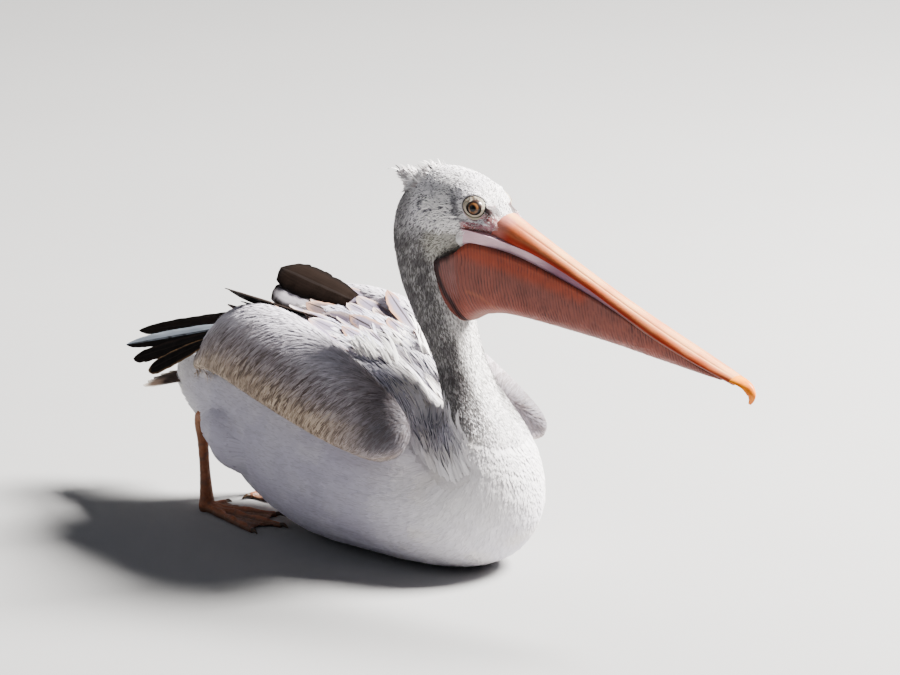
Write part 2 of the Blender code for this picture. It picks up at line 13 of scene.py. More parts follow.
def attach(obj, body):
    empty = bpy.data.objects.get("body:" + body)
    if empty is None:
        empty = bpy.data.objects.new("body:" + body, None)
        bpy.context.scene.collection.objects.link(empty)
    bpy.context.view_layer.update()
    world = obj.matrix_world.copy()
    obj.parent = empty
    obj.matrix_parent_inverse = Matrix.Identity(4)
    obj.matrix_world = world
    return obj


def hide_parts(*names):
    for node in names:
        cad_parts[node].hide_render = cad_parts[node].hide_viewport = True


# A pink-backed pelican at life size. It faces -Y and rests on its belly on the floor, z = 0.
# The solids of the frame are the outer surface of the plumage. The skin lies inside them,
# and the feathers fill the space between.
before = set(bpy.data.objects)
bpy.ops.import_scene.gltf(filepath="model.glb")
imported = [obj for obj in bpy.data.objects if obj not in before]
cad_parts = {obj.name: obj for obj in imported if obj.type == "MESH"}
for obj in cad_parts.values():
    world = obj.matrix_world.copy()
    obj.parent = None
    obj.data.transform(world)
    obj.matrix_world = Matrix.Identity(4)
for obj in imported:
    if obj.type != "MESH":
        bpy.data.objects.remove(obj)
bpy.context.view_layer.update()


def unit(v):
    return v / np.maximum(np.linalg.norm(v, axis=-1, keepdims=True), 1e-9)


def ease(x, low, high):  # smooth step from 0 at low to 1 at high
    t = np.clip((x - low) / (high - low), 0.0, 1.0)
    return t * t * (3 - 2 * t)


def blendTo(a, b, share):  # from a to b, row by row
    share = np.asarray(share)[..., None]
    return a * (1 - share) + b * share


def layered(tint, tones, *layers):  # tones by name, each laid over the last by its own share
    for name, share in layers:
        tint = blendTo(tint, tones[name], share)
    return tint


def tone(red, green, blue):  # a screen colour from 0 to 255 as scene light
    c = np.array([red, green, blue], float) / 255
    return np.where(c <= 0.04045, c / 12.92, ((c + 0.055) / 1.055) ** 2.4)


scatter = np.array([73856093, 19349663, 83492791])   # large numbers that shuffle a grid's cells
scatterSeed, scatterMore = 26544357, 1274126177


def roughField(points, size, seed=0):  # smooth random lumps about size metres across, -1 to 1
    q = np.asarray(points, float) / size
    base = np.floor(q).astype(np.int64)
    f = q - base
    f = f * f * (3 - 2 * f)
    total = np.zeros(len(q))
    for corner in range(8):
        step = np.array([corner & 1, corner >> 1 & 1, corner >> 2 & 1])
        cell = base + step
        key = np.bitwise_xor.reduce(cell * scatter, axis=1) ^ (seed + 11) * scatterSeed
        key = (key ^ key >> 13) * scatterMore & 0x7FFFFFFF
        key = key ^ key >> 16
        weight = np.prod(np.where(step, f, 1 - f), axis=1)
        total += weight * ((key % 20011) / 10005.0 - 1)
    return total


def lineDistance(points, a, b):  # distance from rows of points to the segment a-b
    a, b = np.asarray(a, float), np.asarray(b, float)
    along = np.clip((points - a) @ (b - a) / ((b - a) @ (b - a)), 0, 1)
    return np.linalg.norm(points - a - along[:, None] * (b - a), axis=1)


def pathDistance(points, path):  # distance to a line through several places
    return np.min([lineDistance(points, start, end) for start, end in zip(path, path[1:])], axis=0)


def meshFrom(name, points, quads=(), tris=(), smooth=True):
    mesh = bpy.data.meshes.new(name)
    quads = np.asarray(quads, np.int32).reshape(-1, 4)
    tris = np.asarray(tris, np.int32).reshape(-1, 3)
    corners = np.concatenate([quads.ravel(), tris.ravel()])
    starts = np.concatenate([np.arange(len(quads)) * 4, len(quads) * 4 + np.arange(len(tris)) * 3])
    mesh.vertices.add(len(points))
    mesh.vertices.foreach_set("co", np.asarray(points, np.float32).ravel())
    mesh.loops.add(len(corners))
    mesh.loops.foreach_set("vertex_index", corners)
    mesh.polygons.add(len(starts))
    mesh.polygons.foreach_set("loop_start", starts.astype(np.int32))
    mesh.update(calc_edges=True)
    mesh.validate()
    mesh.polygons.foreach_set("use_smooth", np.full(len(mesh.polygons), smooth))
    return mesh


def cornerPoints(mesh):  # the point that each face corner stands on
    corner = np.empty(len(mesh.loops), np.int32)
    mesh.loops.foreach_get("vertex_index", corner)
    return corner


def layMap(mesh, spots):  # the map for baking, from a spot for each point
    layer = mesh.uv_layers.new(name="OFBake")
    layer.data.foreach_set("uv", spots[cornerPoints(mesh)].astype(np.float32).ravel())


def place(name, data, *materials):  # an object in the scene from its mesh, light or camera
    obj = bpy.data.objects.new(name, data)
    bpy.context.scene.collection.objects.link(obj)
    for material in materials:
        data.materials.append(material)
    return obj


def paint(mesh, name, colours):  # a colour for each point, with alpha 1 where none is given
    colours = np.asarray(colours, np.float32)
    if colours.shape[1] == 3:
        colours = np.hstack([colours, np.ones((len(colours), 1), np.float32)])
    mesh.attributes.new(name, "FLOAT_COLOR", "POINT").data.foreach_set("color", colours.ravel())


def note(mesh, name, values):  # three numbers for each point
    values = np.asarray(values, np.float32)
    mesh.attributes.new(name, "FLOAT_VECTOR", "POINT").data.foreach_set("vector", values.ravel())


def pointNormals(points, faces):  # faces as rows of three or four
    cross = np.cross(points[faces[:, 2]] - points[faces[:, 0]],
                     points[faces[:, -1]] - points[faces[:, 1]])
    total = np.zeros_like(points)
    for column in faces.T:
        for axis in range(3):
            total[:, axis] += np.bincount(column, cross[:, axis], len(points))
    return unit(total)


def tubeFaces(rings, sides):  # quads round a tube of rings
    a = np.arange(rings - 1)[:, None] * sides
    k = np.arange(sides)[None]
    n = (k + 1) % sides
    return np.stack([a + k, a + n, a + sides + n, a + sides + k], axis=-1).reshape(-1, 4)


def loftArrays(rings):  # points, quads and end triangles of a closed solid through rings of points
    count, around = rings.shape[:2]
    quads = tubeFaces(count, around)
    ends = rings[[0, -1]].mean(axis=1)
    last = count * around
    k = np.arange(around)
    n = (k + 1) % around
    caps = np.vstack([np.column_stack([n, k, 0 * k + last]),
                      np.column_stack([k, n, 0 * k]) + [last - around, last - around, last + 1]])
    return np.vstack([rings.reshape(-1, 3), ends]), quads, caps


def loftMesh(name, rings):
    return meshFrom(name, *loftArrays(rings))


def finished(obj, slot, *nodes):  # every piece rides on the one body
    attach(obj, "root")
    if nodes:
        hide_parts(*nodes)
    return obj


# Materials: small helpers for node trees.
def connect(tree, value, socket):  # links a socket's output, or sets a plain value
    if isinstance(value, bpy.types.NodeSocket):
        tree.links.new(value, socket)
    else:
        socket.default_value = value


def addNode(tree, kind, inputs=None, **settings):
    made = tree.nodes.new(kind)
    for name, value in settings.items():
        setattr(made, name, value)
    for socket, value in (inputs or {}).items():
        connect(tree, value, made.inputs[socket])
    return made


def calc(tree, operation, a, b=0.0, c=0.0, clamp=False):
    return addNode(tree, "ShaderNodeMath", {0: a, 1: b, 2: c},
                   operation=operation, use_clamp=clamp).outputs[0]


def mixColours(tree, share, a, b, blend="MIX"):
    made = addNode(tree, "ShaderNodeMix", data_type="RGBA", blend_type=blend)
    for socket, value in ((0, share), (6, a), (7, b)):
        connect(tree, (*value, 1.0) if isinstance(value, tuple) else value, made.inputs[socket])
    return made.outputs[2]


def shaded(tree, colour, shade):  # a colour multiplied by a grey
    grey = addNode(tree, "ShaderNodeCombineColor", {0: shade, 1: shade, 2: shade}).outputs[0]
    return mixColours(tree, 1.0, colour, grey, "MULTIPLY")


def spanNode(tree, value, toLow, toHigh, low=0.3, high=0.7):
    return addNode(tree, "ShaderNodeMapRange", {"Value": value, "From Min": low, "From Max": high,
                                                "To Min": toLow, "To Max": toHigh}).outputs["Result"]


def noiseNode(tree, spot, scale, detail, roughness=0.5):
    return addNode(tree, "ShaderNodeTexNoise", {"Vector": spot, "Scale": scale, "Detail": detail,
                                                "Roughness": roughness}).outputs["Fac"]


def objectSpot(tree):
    return addNode(tree, "ShaderNodeTexCoord").outputs["Object"]


def easeNode(tree, value, low, high):
    return addNode(tree, "ShaderNodeMapRange", {"Value": value, "From Min": low, "From Max": high},
                   interpolation_type="SMOOTHSTEP").outputs["Result"]


def readColour(tree, name):
    return addNode(tree, "ShaderNodeAttribute", attribute_name=name)


def newGroup(name, inputs, outputs):
    tree = bpy.data.node_groups.new(name, "ShaderNodeTree")
    for label, kind, value in inputs:
        socket = tree.interface.new_socket(label, in_out="INPUT", socket_type=kind)
        if value is not None:
            socket.default_value = value
    for label, kind in outputs:
        tree.interface.new_socket(label, in_out="OUTPUT", socket_type=kind)
    return tree, addNode(tree, "NodeGroupInput").outputs, addNode(tree, "NodeGroupOutput").inputs


def useGroup(tree, group, inputs):
    return addNode(tree, "ShaderNodeGroup", inputs, node_tree=group).outputs


def newMaterial(name, roughness, specular=0.5, sheen=0.0, coat=0.0, coatRoughness=0.1, subsurface=0.0,
                subsurfaceRadius=0.004):
    made = bpy.data.materials.new(name)
    made.use_nodes = True
    shader = made.node_tree.nodes["Principled BSDF"]
    shader.inputs["Roughness"].default_value = roughness
    shader.inputs["Specular IOR Level"].default_value = specular
    shader.inputs["Sheen Weight"].default_value = sheen
    shader.inputs["Coat Weight"].default_value = coat
    shader.inputs["Coat Roughness"].default_value = coatRoughness
    shader.inputs["Subsurface Weight"].default_value = subsurface
    shader.inputs["Subsurface Scale"].default_value = subsurfaceRadius
    return made, made.node_tree, shader.inputs


def bumpFrom(tree, height, strength, distance):
    return addNode(tree, "ShaderNodeBump", {"Height": height, "Strength": strength,
                                            "Distance": distance}).outputs["Normal"]


def buildBarbLines():  # fine lines that run from the shaft to the edge and towards the tip
    tree, given, out = newGroup(
        "barbLines",
        [("Across", "NodeSocketFloat", 0.0), ("Along", "NodeSocketFloat", 0.0),
         ("Seed", "NodeSocketFloat", 0.0), ("Lines", "NodeSocketFloat", 6.0),
         ("Slant", "NodeSocketFloat", 0.35)],
        [("Height", "NodeSocketFloat"), ("Shade", "NodeSocketFloat")])
    side = calc(tree, "ABSOLUTE", given["Across"])
    slanted = calc(tree, "SUBTRACT", given["Along"], calc(tree, "MULTIPLY", side, given["Slant"]))
    spot = addNode(tree, "ShaderNodeCombineXYZ", {
        "X": calc(tree, "MULTIPLY", given["Across"], given["Lines"]),
        "Y": calc(tree, "MULTIPLY", slanted, 1.4),
        "Z": calc(tree, "MULTIPLY", given["Seed"], 37.0)}).outputs[0]
    streaks = noiseNode(tree, spot, 1.0, 3.0, 0.65)
    fine = addNode(tree, "ShaderNodeTexWave", {
        "Vector": addNode(tree, "ShaderNodeCombineXYZ", {"X": slanted, "Z": given["Seed"]}).outputs[0],
        "Scale": 9.0, "Distortion": 2.5, "Detail": 1.0}, wave_type="BANDS").outputs["Fac"]
    connect(tree, calc(tree, "ADD", streaks, calc(tree, "MULTIPLY", fine, 0.25)), out["Height"])
    connect(tree, streaks, out["Shade"])
    return tree


def buildShaftStreak():  # a dark line or flame along the middle of a feather
    tree, given, out = newGroup(
        "shaftStreak",
        [("Across", "NodeSocketFloat", 0.0), ("Along", "NodeSocketFloat", 0.0),
         ("Width", "NodeSocketFloat", 0.3), ("Soft", "NodeSocketFloat", 0.25),
         ("From", "NodeSocketFloat", 0.0), ("To", "NodeSocketFloat", 0.9)],
        [("Mask", "NodeSocketFloat")])
    side = calc(tree, "ABSOLUTE", given["Across"])
    narrow = calc(tree, "SUBTRACT", 1.0, easeNode(tree, side, given["Width"],
                                                 calc(tree, "ADD", given["Width"], given["Soft"])))
    start = easeNode(tree, given["Along"], given["From"], calc(tree, "ADD", given["From"], 0.12))
    end = calc(tree, "SUBTRACT", 1.0, easeNode(tree, given["Along"],
                                              calc(tree, "SUBTRACT", given["To"], 0.22), given["To"]))
    connect(tree, calc(tree, "MULTIPLY", calc(tree, "MULTIPLY", narrow, start), end), out["Mask"])
    return tree


def buildSkinGrain():  # fine creases and pores of bare skin and horn
    tree, given, out = newGroup(
        "skinGrain",
        [("Place", "NodeSocketVector", None), ("Size", "NodeSocketFloat", 600.0),
         ("Pores", "NodeSocketFloat", 0.5)],
        [("Height", "NodeSocketFloat"), ("Mottle", "NodeSocketFloat")])
    cells = addNode(tree, "ShaderNodeTexVoronoi", {"Vector": given["Place"], "Scale": given["Size"]},
                    feature="F1").outputs["Distance"]
    lumps = noiseNode(tree, given["Place"], calc(tree, "MULTIPLY", given["Size"], 0.35), 4.0)
    connect(tree, calc(tree, "ADD", calc(tree, "MULTIPLY", cells, given["Pores"]), lumps), out["Height"])
    broad = noiseNode(tree, given["Place"], calc(tree, "MULTIPLY", given["Size"], 0.12), 3.0)
    connect(tree, broad, out["Mottle"])
    return tree


barbLines = buildBarbLines()
shaftStreak = buildShaftStreak()
skinGrain = buildSkinGrain()


def featherMaterial(name, look):
    made, tree, sockets = newMaterial(name, look["roughness"], look["specular"], look["sheen"])
    tint, mark = readColour(tree, "tint"), readColour(tree, "mark")
    vane = addNode(tree, "ShaderNodeSeparateXYZ", {0: readColour(tree, "vane").outputs["Vector"]}).outputs
    barbs = useGroup(tree, barbLines, {"Across": vane[0], "Along": vane[1], "Seed": vane[2],
                                       "Lines": look["lines"], "Slant": look["slant"]})
    streak = useGroup(tree, shaftStreak, {"Across": vane[0], "Along": vane[1], "Width": look["streakWidth"],
                                          "Soft": look["streakSoft"], "From": look["streakFrom"],
                                          "To": look["streakTo"]})["Mask"]
    # The streak's edge is frayed by the barbs.
    frayed = calc(tree, "MULTIPLY", streak, calc(tree, "MULTIPLY_ADD", barbs["Shade"], 1.6, 0.2), clamp=True)
    share = calc(tree, "MULTIPLY", frayed, mark.outputs["Alpha"], clamp=True)
    colour = mixColours(tree, share, tint.outputs["Color"], mark.outputs["Color"])
    shade = spanNode(tree, barbs["Shade"], 1 - look["contrast"], 1 + look["contrast"] * 0.5, 0.25, 0.75)
    connect(tree, shaded(tree, colour, shade), sockets["Base Color"])
    connect(tree, bumpFrom(tree, barbs["Height"], look["bump"], look["bumpDepth"]), sockets["Normal"])
    return made


# What most feathers share: the barbs' fine lines, the dark streak along the shaft, and the relief.
vaneLook = {
    "roughness": 0.65, "specular": 0.2, "sheen": 0.05, "lines": 7.0, "slant": 0.5, "streakSoft": 0.4,
    "streakFrom": 0.1, "streakTo": 1.04, "contrast": 0.16, "bump": 0.3, "bumpDepth": 0.0003,
}


# The body's own directions.
# The middle of the body from the root of the tail to the base of the bill: y, z.
spineLine = np.array([
    (0.272, 0.132), (0.192, 0.118), (0.133, 0.108), (0.056, 0.101), (-0.024, 0.097), (-0.09, 0.089),
    (-0.1315, 0.0895), (-0.1545, 0.1065), (-0.1595, 0.1295), (-0.151, 0.1535), (-0.132, 0.1785),
    (-0.116, 0.207), (-0.099, 0.2405), (-0.079, 0.28), (-0.072, 0.313), (-0.0765, 0.335),
    (-0.093, 0.3525), (-0.114, 0.363), (-0.137, 0.366), (-0.158, 0.365), (-0.176, 0.36),
    (-0.1895, 0.3505)])
spineSteps = np.diff(spineLine, axis=0)
spineReach = np.concatenate([[0], np.cumsum(np.linalg.norm(spineSteps, axis=1))])
spineHeading = unit(np.vstack([spineSteps[:1], spineSteps[1:] + spineSteps[:-1], spineSteps[-1:]]))


def alongSpine(points):  # metres along the spine, the spine's heading there, and the turn round it
    flat = points[:, 1:]
    best = np.full(len(points), np.inf)
    reach = np.zeros(len(points))
    heading = np.zeros((len(points), 2))
    centre = np.zeros((len(points), 2))
    for i, (start, step) in enumerate(zip(spineLine, spineSteps)):
        share = np.clip((flat - start) @ step / (step @ step), 0, 1)
        spot = start + share[:, None] * step
        far = np.linalg.norm(flat - spot, axis=1)
        nearer = far < best
        best[nearer] = far[nearer]
        reach[nearer] = (spineReach[i] + share * np.linalg.norm(step))[nearer]
        centre[nearer] = spot[nearer]
        heading[nearer] = unit(blendTo(spineHeading[i], spineHeading[i + 1], share))[nearer]
    up = np.stack([-heading[:, 1], heading[:, 0]], axis=1) * -1
    height = np.sum((flat - centre) * up, axis=1)
    turn = np.arctan2(points[:, 0], height)
    return reach, np.column_stack([np.zeros(len(points)), heading]), turn


# Skin.
skin = {
    "voxel": 0.0026,          # size of its faces on the body
    "grow": 0.0007,           # closes the gaps between the solids
    "bodyRounds": 34,         # smoothing on the trunk and wings
    "headRounds": 10,         # smoothing on the head and neck
    "depths": {"trunk": 0.0034, "thigh": 0.003, "neck_lower": 0.0026, "neck_upper": 0.002,
               "head": 0.0013, "crest": 0.006, "wing": 0.0034, "mantle": 0.0036},
}
eyes = {
    "middle": np.array([0.0202, -0.158, 0.3702]),   # of the left eyeball, before it is set in
    "inset": {"left": 0.003, "right": 0.0},         # how much deeper each one lies
    "radius": 0.0088,
    "gaze": unit(np.array([0.92, -0.36, 0.14])),
    "opening": (0.0076, 0.0062),                     # half width and half height between the lids
    "ring": (0.0119, 0.0099),                        # half width and half height of the bare ring
    "ringShift": (-0.0013, 0.0011),                  # how far the ring's middle lies ahead and up
    "raise": 0.0016,                                 # the most that the lids stand over the face
}
sides = {"left": 1.0, "right": -1.0}
flips = {side: np.array([sign, 1, 1]) for side, sign in sides.items()}


def nodeFamily(node):  # "wing_left" is of the family "wing"
    return node.rsplit("_", 1)[0] if node.endswith(("_left", "_right")) else node


def weldedArrays(mesh, gap):  # points and triangles of a mesh, welded and facing outwards
    bm = bmesh.new()
    bm.from_mesh(mesh)
    bmesh.ops.remove_doubles(bm, verts=bm.verts, dist=gap)
    bmesh.ops.triangulate(bm, faces=bm.faces)
    bmesh.ops.recalc_face_normals(bm, faces=bm.faces)
    bm.verts.index_update()
    points = np.array([v.co for v in bm.verts])
    tris = np.array([[v.index for v in f.verts] for f in bm.faces])
    bm.free()
    return points, tris


def joined(parts):  # one array of points and one of faces for all of the parts
    starts = np.cumsum([0] + [len(points) for points, _ in parts])
    return (np.vstack([points for points, _ in parts]),
            np.vstack([faces + start for (_, faces), start in zip(parts, starts)]))


def solidArrays(nodes):  # points and triangles of some CAD nodes, and each triangle's node number
    parts = [weldedArrays(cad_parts[node].data, 1e-6) for node in nodes]
    return *joined(parts), np.repeat(np.arange(len(nodes)), [len(tris) for _, tris in parts])


def treeOf(points, faces):
    return BVHTree.FromPolygons([tuple(p) for p in points], [tuple(f) for f in faces.tolist()])


def relax(values, edges, rounds, share=0.5):  # draws each point towards its neighbours' mean
    values = np.array(values, float)
    single = values.ndim == 1
    if single:
        values = values[:, None]
    count = len(values)
    links = np.maximum(np.bincount(edges.ravel(), minlength=count), 1)
    for _ in range(rounds):
        for axis in range(values.shape[1]):
            column = values[:, axis]
            total = (np.bincount(edges[:, 0], column[edges[:, 1]], count)
                     + np.bincount(edges[:, 1], column[edges[:, 0]], count))
            values[:, axis] = column + (total / links - column) * share
    return values[:, 0] if single else values


def remeshed(points, tris, voxel):  # one closed surface of even faces round all the solids
    source = place("remeshSource", meshFrom("remeshSource", points, tris=tris))
    step = source.modifiers.new("remesh", "REMESH")
    step.mode = "VOXEL"
    step.voxel_size = voxel
    bpy.context.view_layer.update()
    done = bpy.data.meshes.new_from_object(source.evaluated_get(bpy.context.evaluated_depsgraph_get()))
    bpy.data.objects.remove(source)
    return done


def meshArrays(mesh):
    points = np.empty(len(mesh.vertices) * 3)
    mesh.vertices.foreach_get("co", points)
    edges = np.empty(len(mesh.edges) * 2, np.int32)
    mesh.edges.foreach_get("vertices", edges)
    return points.reshape(-1, 3), edges.reshape(-1, 2)


def facesOf(mesh):  # its quads and its triangles
    faces = [tuple(p.vertices) for p in mesh.polygons]
    return [np.array([f for f in faces if len(f) == count], int).reshape(-1, count) for count in (4, 3)]


def refineNear(mesh, middles, rings):  # splits the faces near some points, each ring finer
    bm = bmesh.new()
    bm.from_mesh(mesh)
    for reach in rings:
        near = [e for e in bm.edges
                if any((v.co - m).length < reach for v in e.verts for m in middles)]
        bmesh.ops.subdivide_edges(bm, edges=near, cuts=1, use_grid_fill=True)
    bmesh.ops.triangulate(bm, faces=[f for f in bm.faces if len(f.verts) > 4])
    bm.to_mesh(mesh)
    bm.free()


def eyeFrame(side):  # middle, gaze, forward and up of one eye
    flip = flips[side]
    gaze = eyes["gaze"] * flip
    ahead = unit(np.array([0, -1.0, -0.18]) - gaze * (gaze @ np.array([0, -1.0, -0.18])))
    up = np.cross(gaze, ahead) * -sides[side]
    return eyes["middle"] * flip - gaze * eyes["inset"][side], gaze, ahead, up


def roundEye(points, side):
    # How points lie round an eye: openings is 1 at the lids' edge, share is 0 there and 1 at the
    # outer edge of the bare ring, and below is 1 under the eye. own marks the points on its side.
    middle, gaze, ahead, up = eyeFrame(side)
    offset = points - middle
    u, v, depth = offset @ ahead, offset @ up, offset @ gaze
    (wide, tall), (ringWide, ringTall), (forward, rise) = eyes["opening"], eyes["ring"], eyes["ringShift"]
    openings = np.hypot(u / wide, v / tall)
    inner = np.maximum(openings - 1, 0)
    outer = 1 - np.hypot((u - forward) / ringWide, (v - rise) / ringTall)
    return SimpleNamespace(
        openings=openings, bearing=np.arctan2(v / tall, u / wide), depth=depth, radius=np.hypot(u, v),
        share=np.where(outer > 0, inner / np.maximum(inner + outer, 1e-6), 1 - outer * 1.5),
        below=np.exp(-((np.arctan2(v, u) + 1.4) / 0.8) ** 2),
        own=(points[:, 0] * sides[side] > 0) & (depth > -0.004))


def lidCreases(at):  # 1 in the middle of each fold line of the ring
    share, bearing, below = at.share, at.bearing, at.below
    wander = 0.06 * np.sin(3 * bearing + 0.8) + 0.03 * np.sin(7 * bearing + 2)
    first = (0.7 + 0.3 * np.cos(bearing - 2.4)) * np.exp(-((share - 0.36 - wander) / 0.07) ** 2)
    second = (0.5 + 0.5 * np.cos(bearing - 2.2)) * np.exp(-((share - 0.7 + wander) / 0.08) ** 2)
    outer = np.exp(-((share - 1.04) / 0.11) ** 2)
    return first, second, outer, below * np.exp(-((share - 1.52) / 0.11) ** 2)


def sculptEye(points, side):  # lids, ring and folds, as heights along the gaze
    at = roundEye(points, side)
    ball = np.sqrt(np.maximum(eyes["radius"] ** 2 - at.radius ** 2, 1e-8))
    # The ring is a low cushion with uneven creases round it, and a second fold below.
    edgeBall = np.sqrt(eyes["radius"] ** 2 - 0.0068 ** 2)
    first, second, outer, under = lidCreases(at)
    lid = edgeBall + 0.001 - 0.0013 * at.share - 0.001 * at.share ** 2
    lid += 0.0007 * at.below * np.exp(-((at.share - 1.28) / 0.14) ** 2)
    lid -= 0.0004 * first + 0.0004 * second + 0.0009 * outer + 0.0007 * under
    inside = ball - 0.0022
    margin = ease(at.openings, 0.96, 1.03)
    target = inside * (1 - margin) + lid * margin
    worn = 1 - ease(at.share, 1.12 + 0.6 * at.below, 2.1 + 0.6 * at.below)
    worn = np.where((at.openings < 2.9) & (at.depth > -0.004), worn, 0)
    gaze = eyeFrame(side)[1]
    points += gaze * (np.minimum(target - at.depth, eyes["raise"]) * worn)[:, None]


fleshNodes = ["trunk", "neck_lower", "neck_upper", "head", "crest"]
fleshNodes += [f"{part}_{side}" for part in ("thigh", "wing", "mantle") for side in sides]


def shapeSkin():  # the feathered body's skin: points, edges, faces and each point's node family
    solid, tris, owners = solidArrays(fleshNodes + ["eye_left", "eye_right"])
    grown = solid + pointNormals(solid, tris) * skin["grow"]
    mesh = remeshed(grown, tris, skin["voxel"])
    middles = [Vector(eyeFrame(side)[0] + eyeFrame(side)[1] * 0.008) for side in sides]
    refineNear(mesh, middles, (0.036, 0.033, 0.0185))
    points, edges = meshArrays(mesh)
    cad = treeOf(solid, tris)
    depths = np.array([skin["depths"][nodeFamily(n)] for n in fleshNodes] + [skin["depths"]["head"]] * 2)

    def cadDepth(rows):  # how deep each point lies in the solids, and the nearest solid's number
        under, nearest = np.empty(len(rows)), np.empty(len(rows), int)
        for i, row in enumerate(rows):
            spot, normal, face, gap = cad.find_nearest(row)
            under[i] = gap if (Vector(row) - spot).dot(normal) < 0 else -gap
            nearest[i] = owners[face]
        return under, nearest

    _, nearest = cadDepth(points)
    calmNodes = [fleshNodes.index(name) for name in ("head", "neck_upper", "neck_lower")]
    isHead = np.isin(nearest, calmNodes) | (nearest >= len(fleshNodes))
    points = relax(points, edges, skin["headRounds"])
    calmed = relax(isHead.astype(float), edges, 6)
    points = relax(points, edges, skin["bodyRounds"] - skin["headRounds"], 0.5 * (1 - calmed))
    quads, triangles = facesOf(mesh)
    corners = np.vstack([quads, triangles[:, [0, 1, 2, 2]]])
    normals = pointNormals(points, corners)
    under, nearest = cadDepth(points)
    wanted = relax(depths[nearest], edges, 8)
    shift = relax(wanted - np.clip(under, -0.003, 0.012), edges, 10)
    points -= normals * shift[:, None]
    pebbles = roughField(points, 0.0021, 8) * 0.00022 + roughField(points, 0.006, 9) * 0.0003
    points += normals * (pebbles * ease(-points[:, 1], 0.146, 0.15))[:, None]
    for side in sides:
        sculptEye(points, side)
    families = np.array([nodeFamily(n) for n in fleshNodes] + ["head"] * 2)[nearest]
    return points, edges, corners, quads, triangles, families


skinPoints, skinEdges, skinCorners, skinQuads, skinTris, skinFamily = shapeSkin()
skinNormals = pointNormals(skinPoints, skinCorners)
skinTree = treeOf(skinPoints, skinCorners)
print("skin shaped:", len(skinPoints), "points")


# Lie and markings of the plumage, shared by the skin and the coat.
skinReach, skinHeading, skinTurn = alongSpine(skinPoints)
neckBaseReach = spineReach[9]


# The long streaks of the shoulders run on down between the wing and the neck.
def shoulderGap(points):  # metres from the middle of that strip
    flat = np.column_stack([np.abs(points[:, 0]) - 0.05, points[:, 1:]])
    return lineDistance(flat, (0, -0.095, 0.16), (0, -0.158, 0.118))


onShoulder = (skinPoints[:, 2] > 0.154) & (np.abs(skinPoints[:, 1] + 0.072) < 0.044)
onShoulder &= (skinPoints[:, 2] < 0.21) & (skinFamily == "trunk")
onShoulder |= (shoulderGap(skinPoints) < 0.022) & np.isin(skinFamily, ("trunk", "neck_lower"))
skinFamily[onShoulder] = "mantle"


def inPlane(vectors, normals):  # laid along the surface
    return unit(vectors - normals * np.sum(vectors * normals, axis=1)[:, None])


wingEdges = np.array([  # y, then the lowest and highest z of the folded wing there
    (-0.137, 0.139, 0.151), (-0.13, 0.13, 0.161), (-0.111, 0.122, 0.1735), (-0.08, 0.124, 0.188),
    (-0.028, 0.134, 0.21), (0.03, 0.147, 0.229), (0.08, 0.1565, 0.2367), (0.125, 0.161, 0.2327),
    (0.16, 0.159, 0.219), (0.19, 0.1535, 0.1945), (0.212, 0.147, 0.165)])
wristDroop = {"left": 0.019, "right": 0.0, "endsAt": 0.05}


def wingHeight(points):  # 0 along the wing's lower edge, 1 along its top
    y = points[:, 1]
    reach = np.clip((wristDroop["endsAt"] - y) / (wristDroop["endsAt"] - wingEdges[0, 0]), 0, None) ** 1.5
    droop = reach * np.where(points[:, 0] > 0, wristDroop["left"], wristDroop["right"])
    low, high = (np.interp(y, wingEdges[:, 0], wingEdges[:, column]) - droop for column in (1, 2))
    return (points[:, 2] - low) / (high - low)


def lieOf(points, normals, families):  # the way the feathers point, root to tip
    _, heading, _ = alongSpine(points)
    side = np.sign(points[:, 0])
    back = -heading
    # Along the flank and belly the feathers run back, and a little down on the thigh.
    flow = back.copy()
    y, z = points[:, 1], points[:, 2]
    isWing = families == "wing"
    # Wing: steep over the middle, flatter along the top and at the bend.
    heightOn = wingHeight(points)
    fall = math.radians(1) * (56 - 10 * ease(-y, 0.02, 0.11) + 2 * ease(y, 0.02, 0.14)
                              - 26 * ease(heightOn, 0.8, 1.0) - 34 * ease(heightOn, 0.16, 0.02))
    bend = ease(-y, 0.03, 0.14)
    wingFlow = np.column_stack([side * (0.2 + 0.8 * bend), np.cos(fall) * (1 - 0.35 * bend), -np.sin(fall)])
    flow[isWing] = wingFlow[isWing]
    isMantle = families == "mantle"
    steep = ease(-z, -0.2, -0.15)
    mantleFlow = np.column_stack([side * 0.16, 1 - 0.55 * steep, 0.95 * steep])
    flow[isMantle] = mantleFlow[isMantle]
    hipGap = np.linalg.norm(np.column_stack([np.abs(points[:, 0]) - 0.054, y - 0.16, z - 0.098]), axis=1)
    onThigh = (families == "thigh") * (1 - ease(hipGap, 0.022, 0.05))
    flow = blendTo(flow, np.broadcast_to([0.0, 0.95, -0.3], flow.shape), onThigh)
    # Cheeks: back and slightly down from the eye.
    isHead = families == "head"
    cheek = isHead * ease(np.abs(points[:, 0]), 0.012, 0.026) * ease(-y, 0.085, 0.125)
    flow = blendTo(flow, np.broadcast_to([0.0, 1.0, -0.18], flow.shape), cheek * 0.8)
    isCrest = families == "crest"
    flow[isCrest] = np.array([0, 1.0, 0.28])
    return inPlane(flow, normals)


def bareFace(points):  # 1 on the naked skin round the eye and down to the mouth, 0 on feathers
    flat = points[:, 1:]
    worn = np.zeros(len(points))
    for side in sides:
        at = roundEye(points, side)
        worn = np.maximum(worn, np.where(at.own, 1 - ease(at.share - 0.55 * at.below, 1.04, 1.22), 0))
    lores = lineDistance(flat, (-0.163, 0.369), (-0.195, 0.356)) - 0.0068
    cheek = lineDistance(flat, (-0.1475, 0.35), (-0.195, 0.349)) - 0.0062
    patch = 1 - ease(np.minimum(lores, cheek), -0.0006, 0.001)
    patch *= ease(np.abs(points[:, 0]), 0.006, 0.009) * ease(-points[:, 1], 0.1425, 0.146)
    return np.maximum(worn, patch)


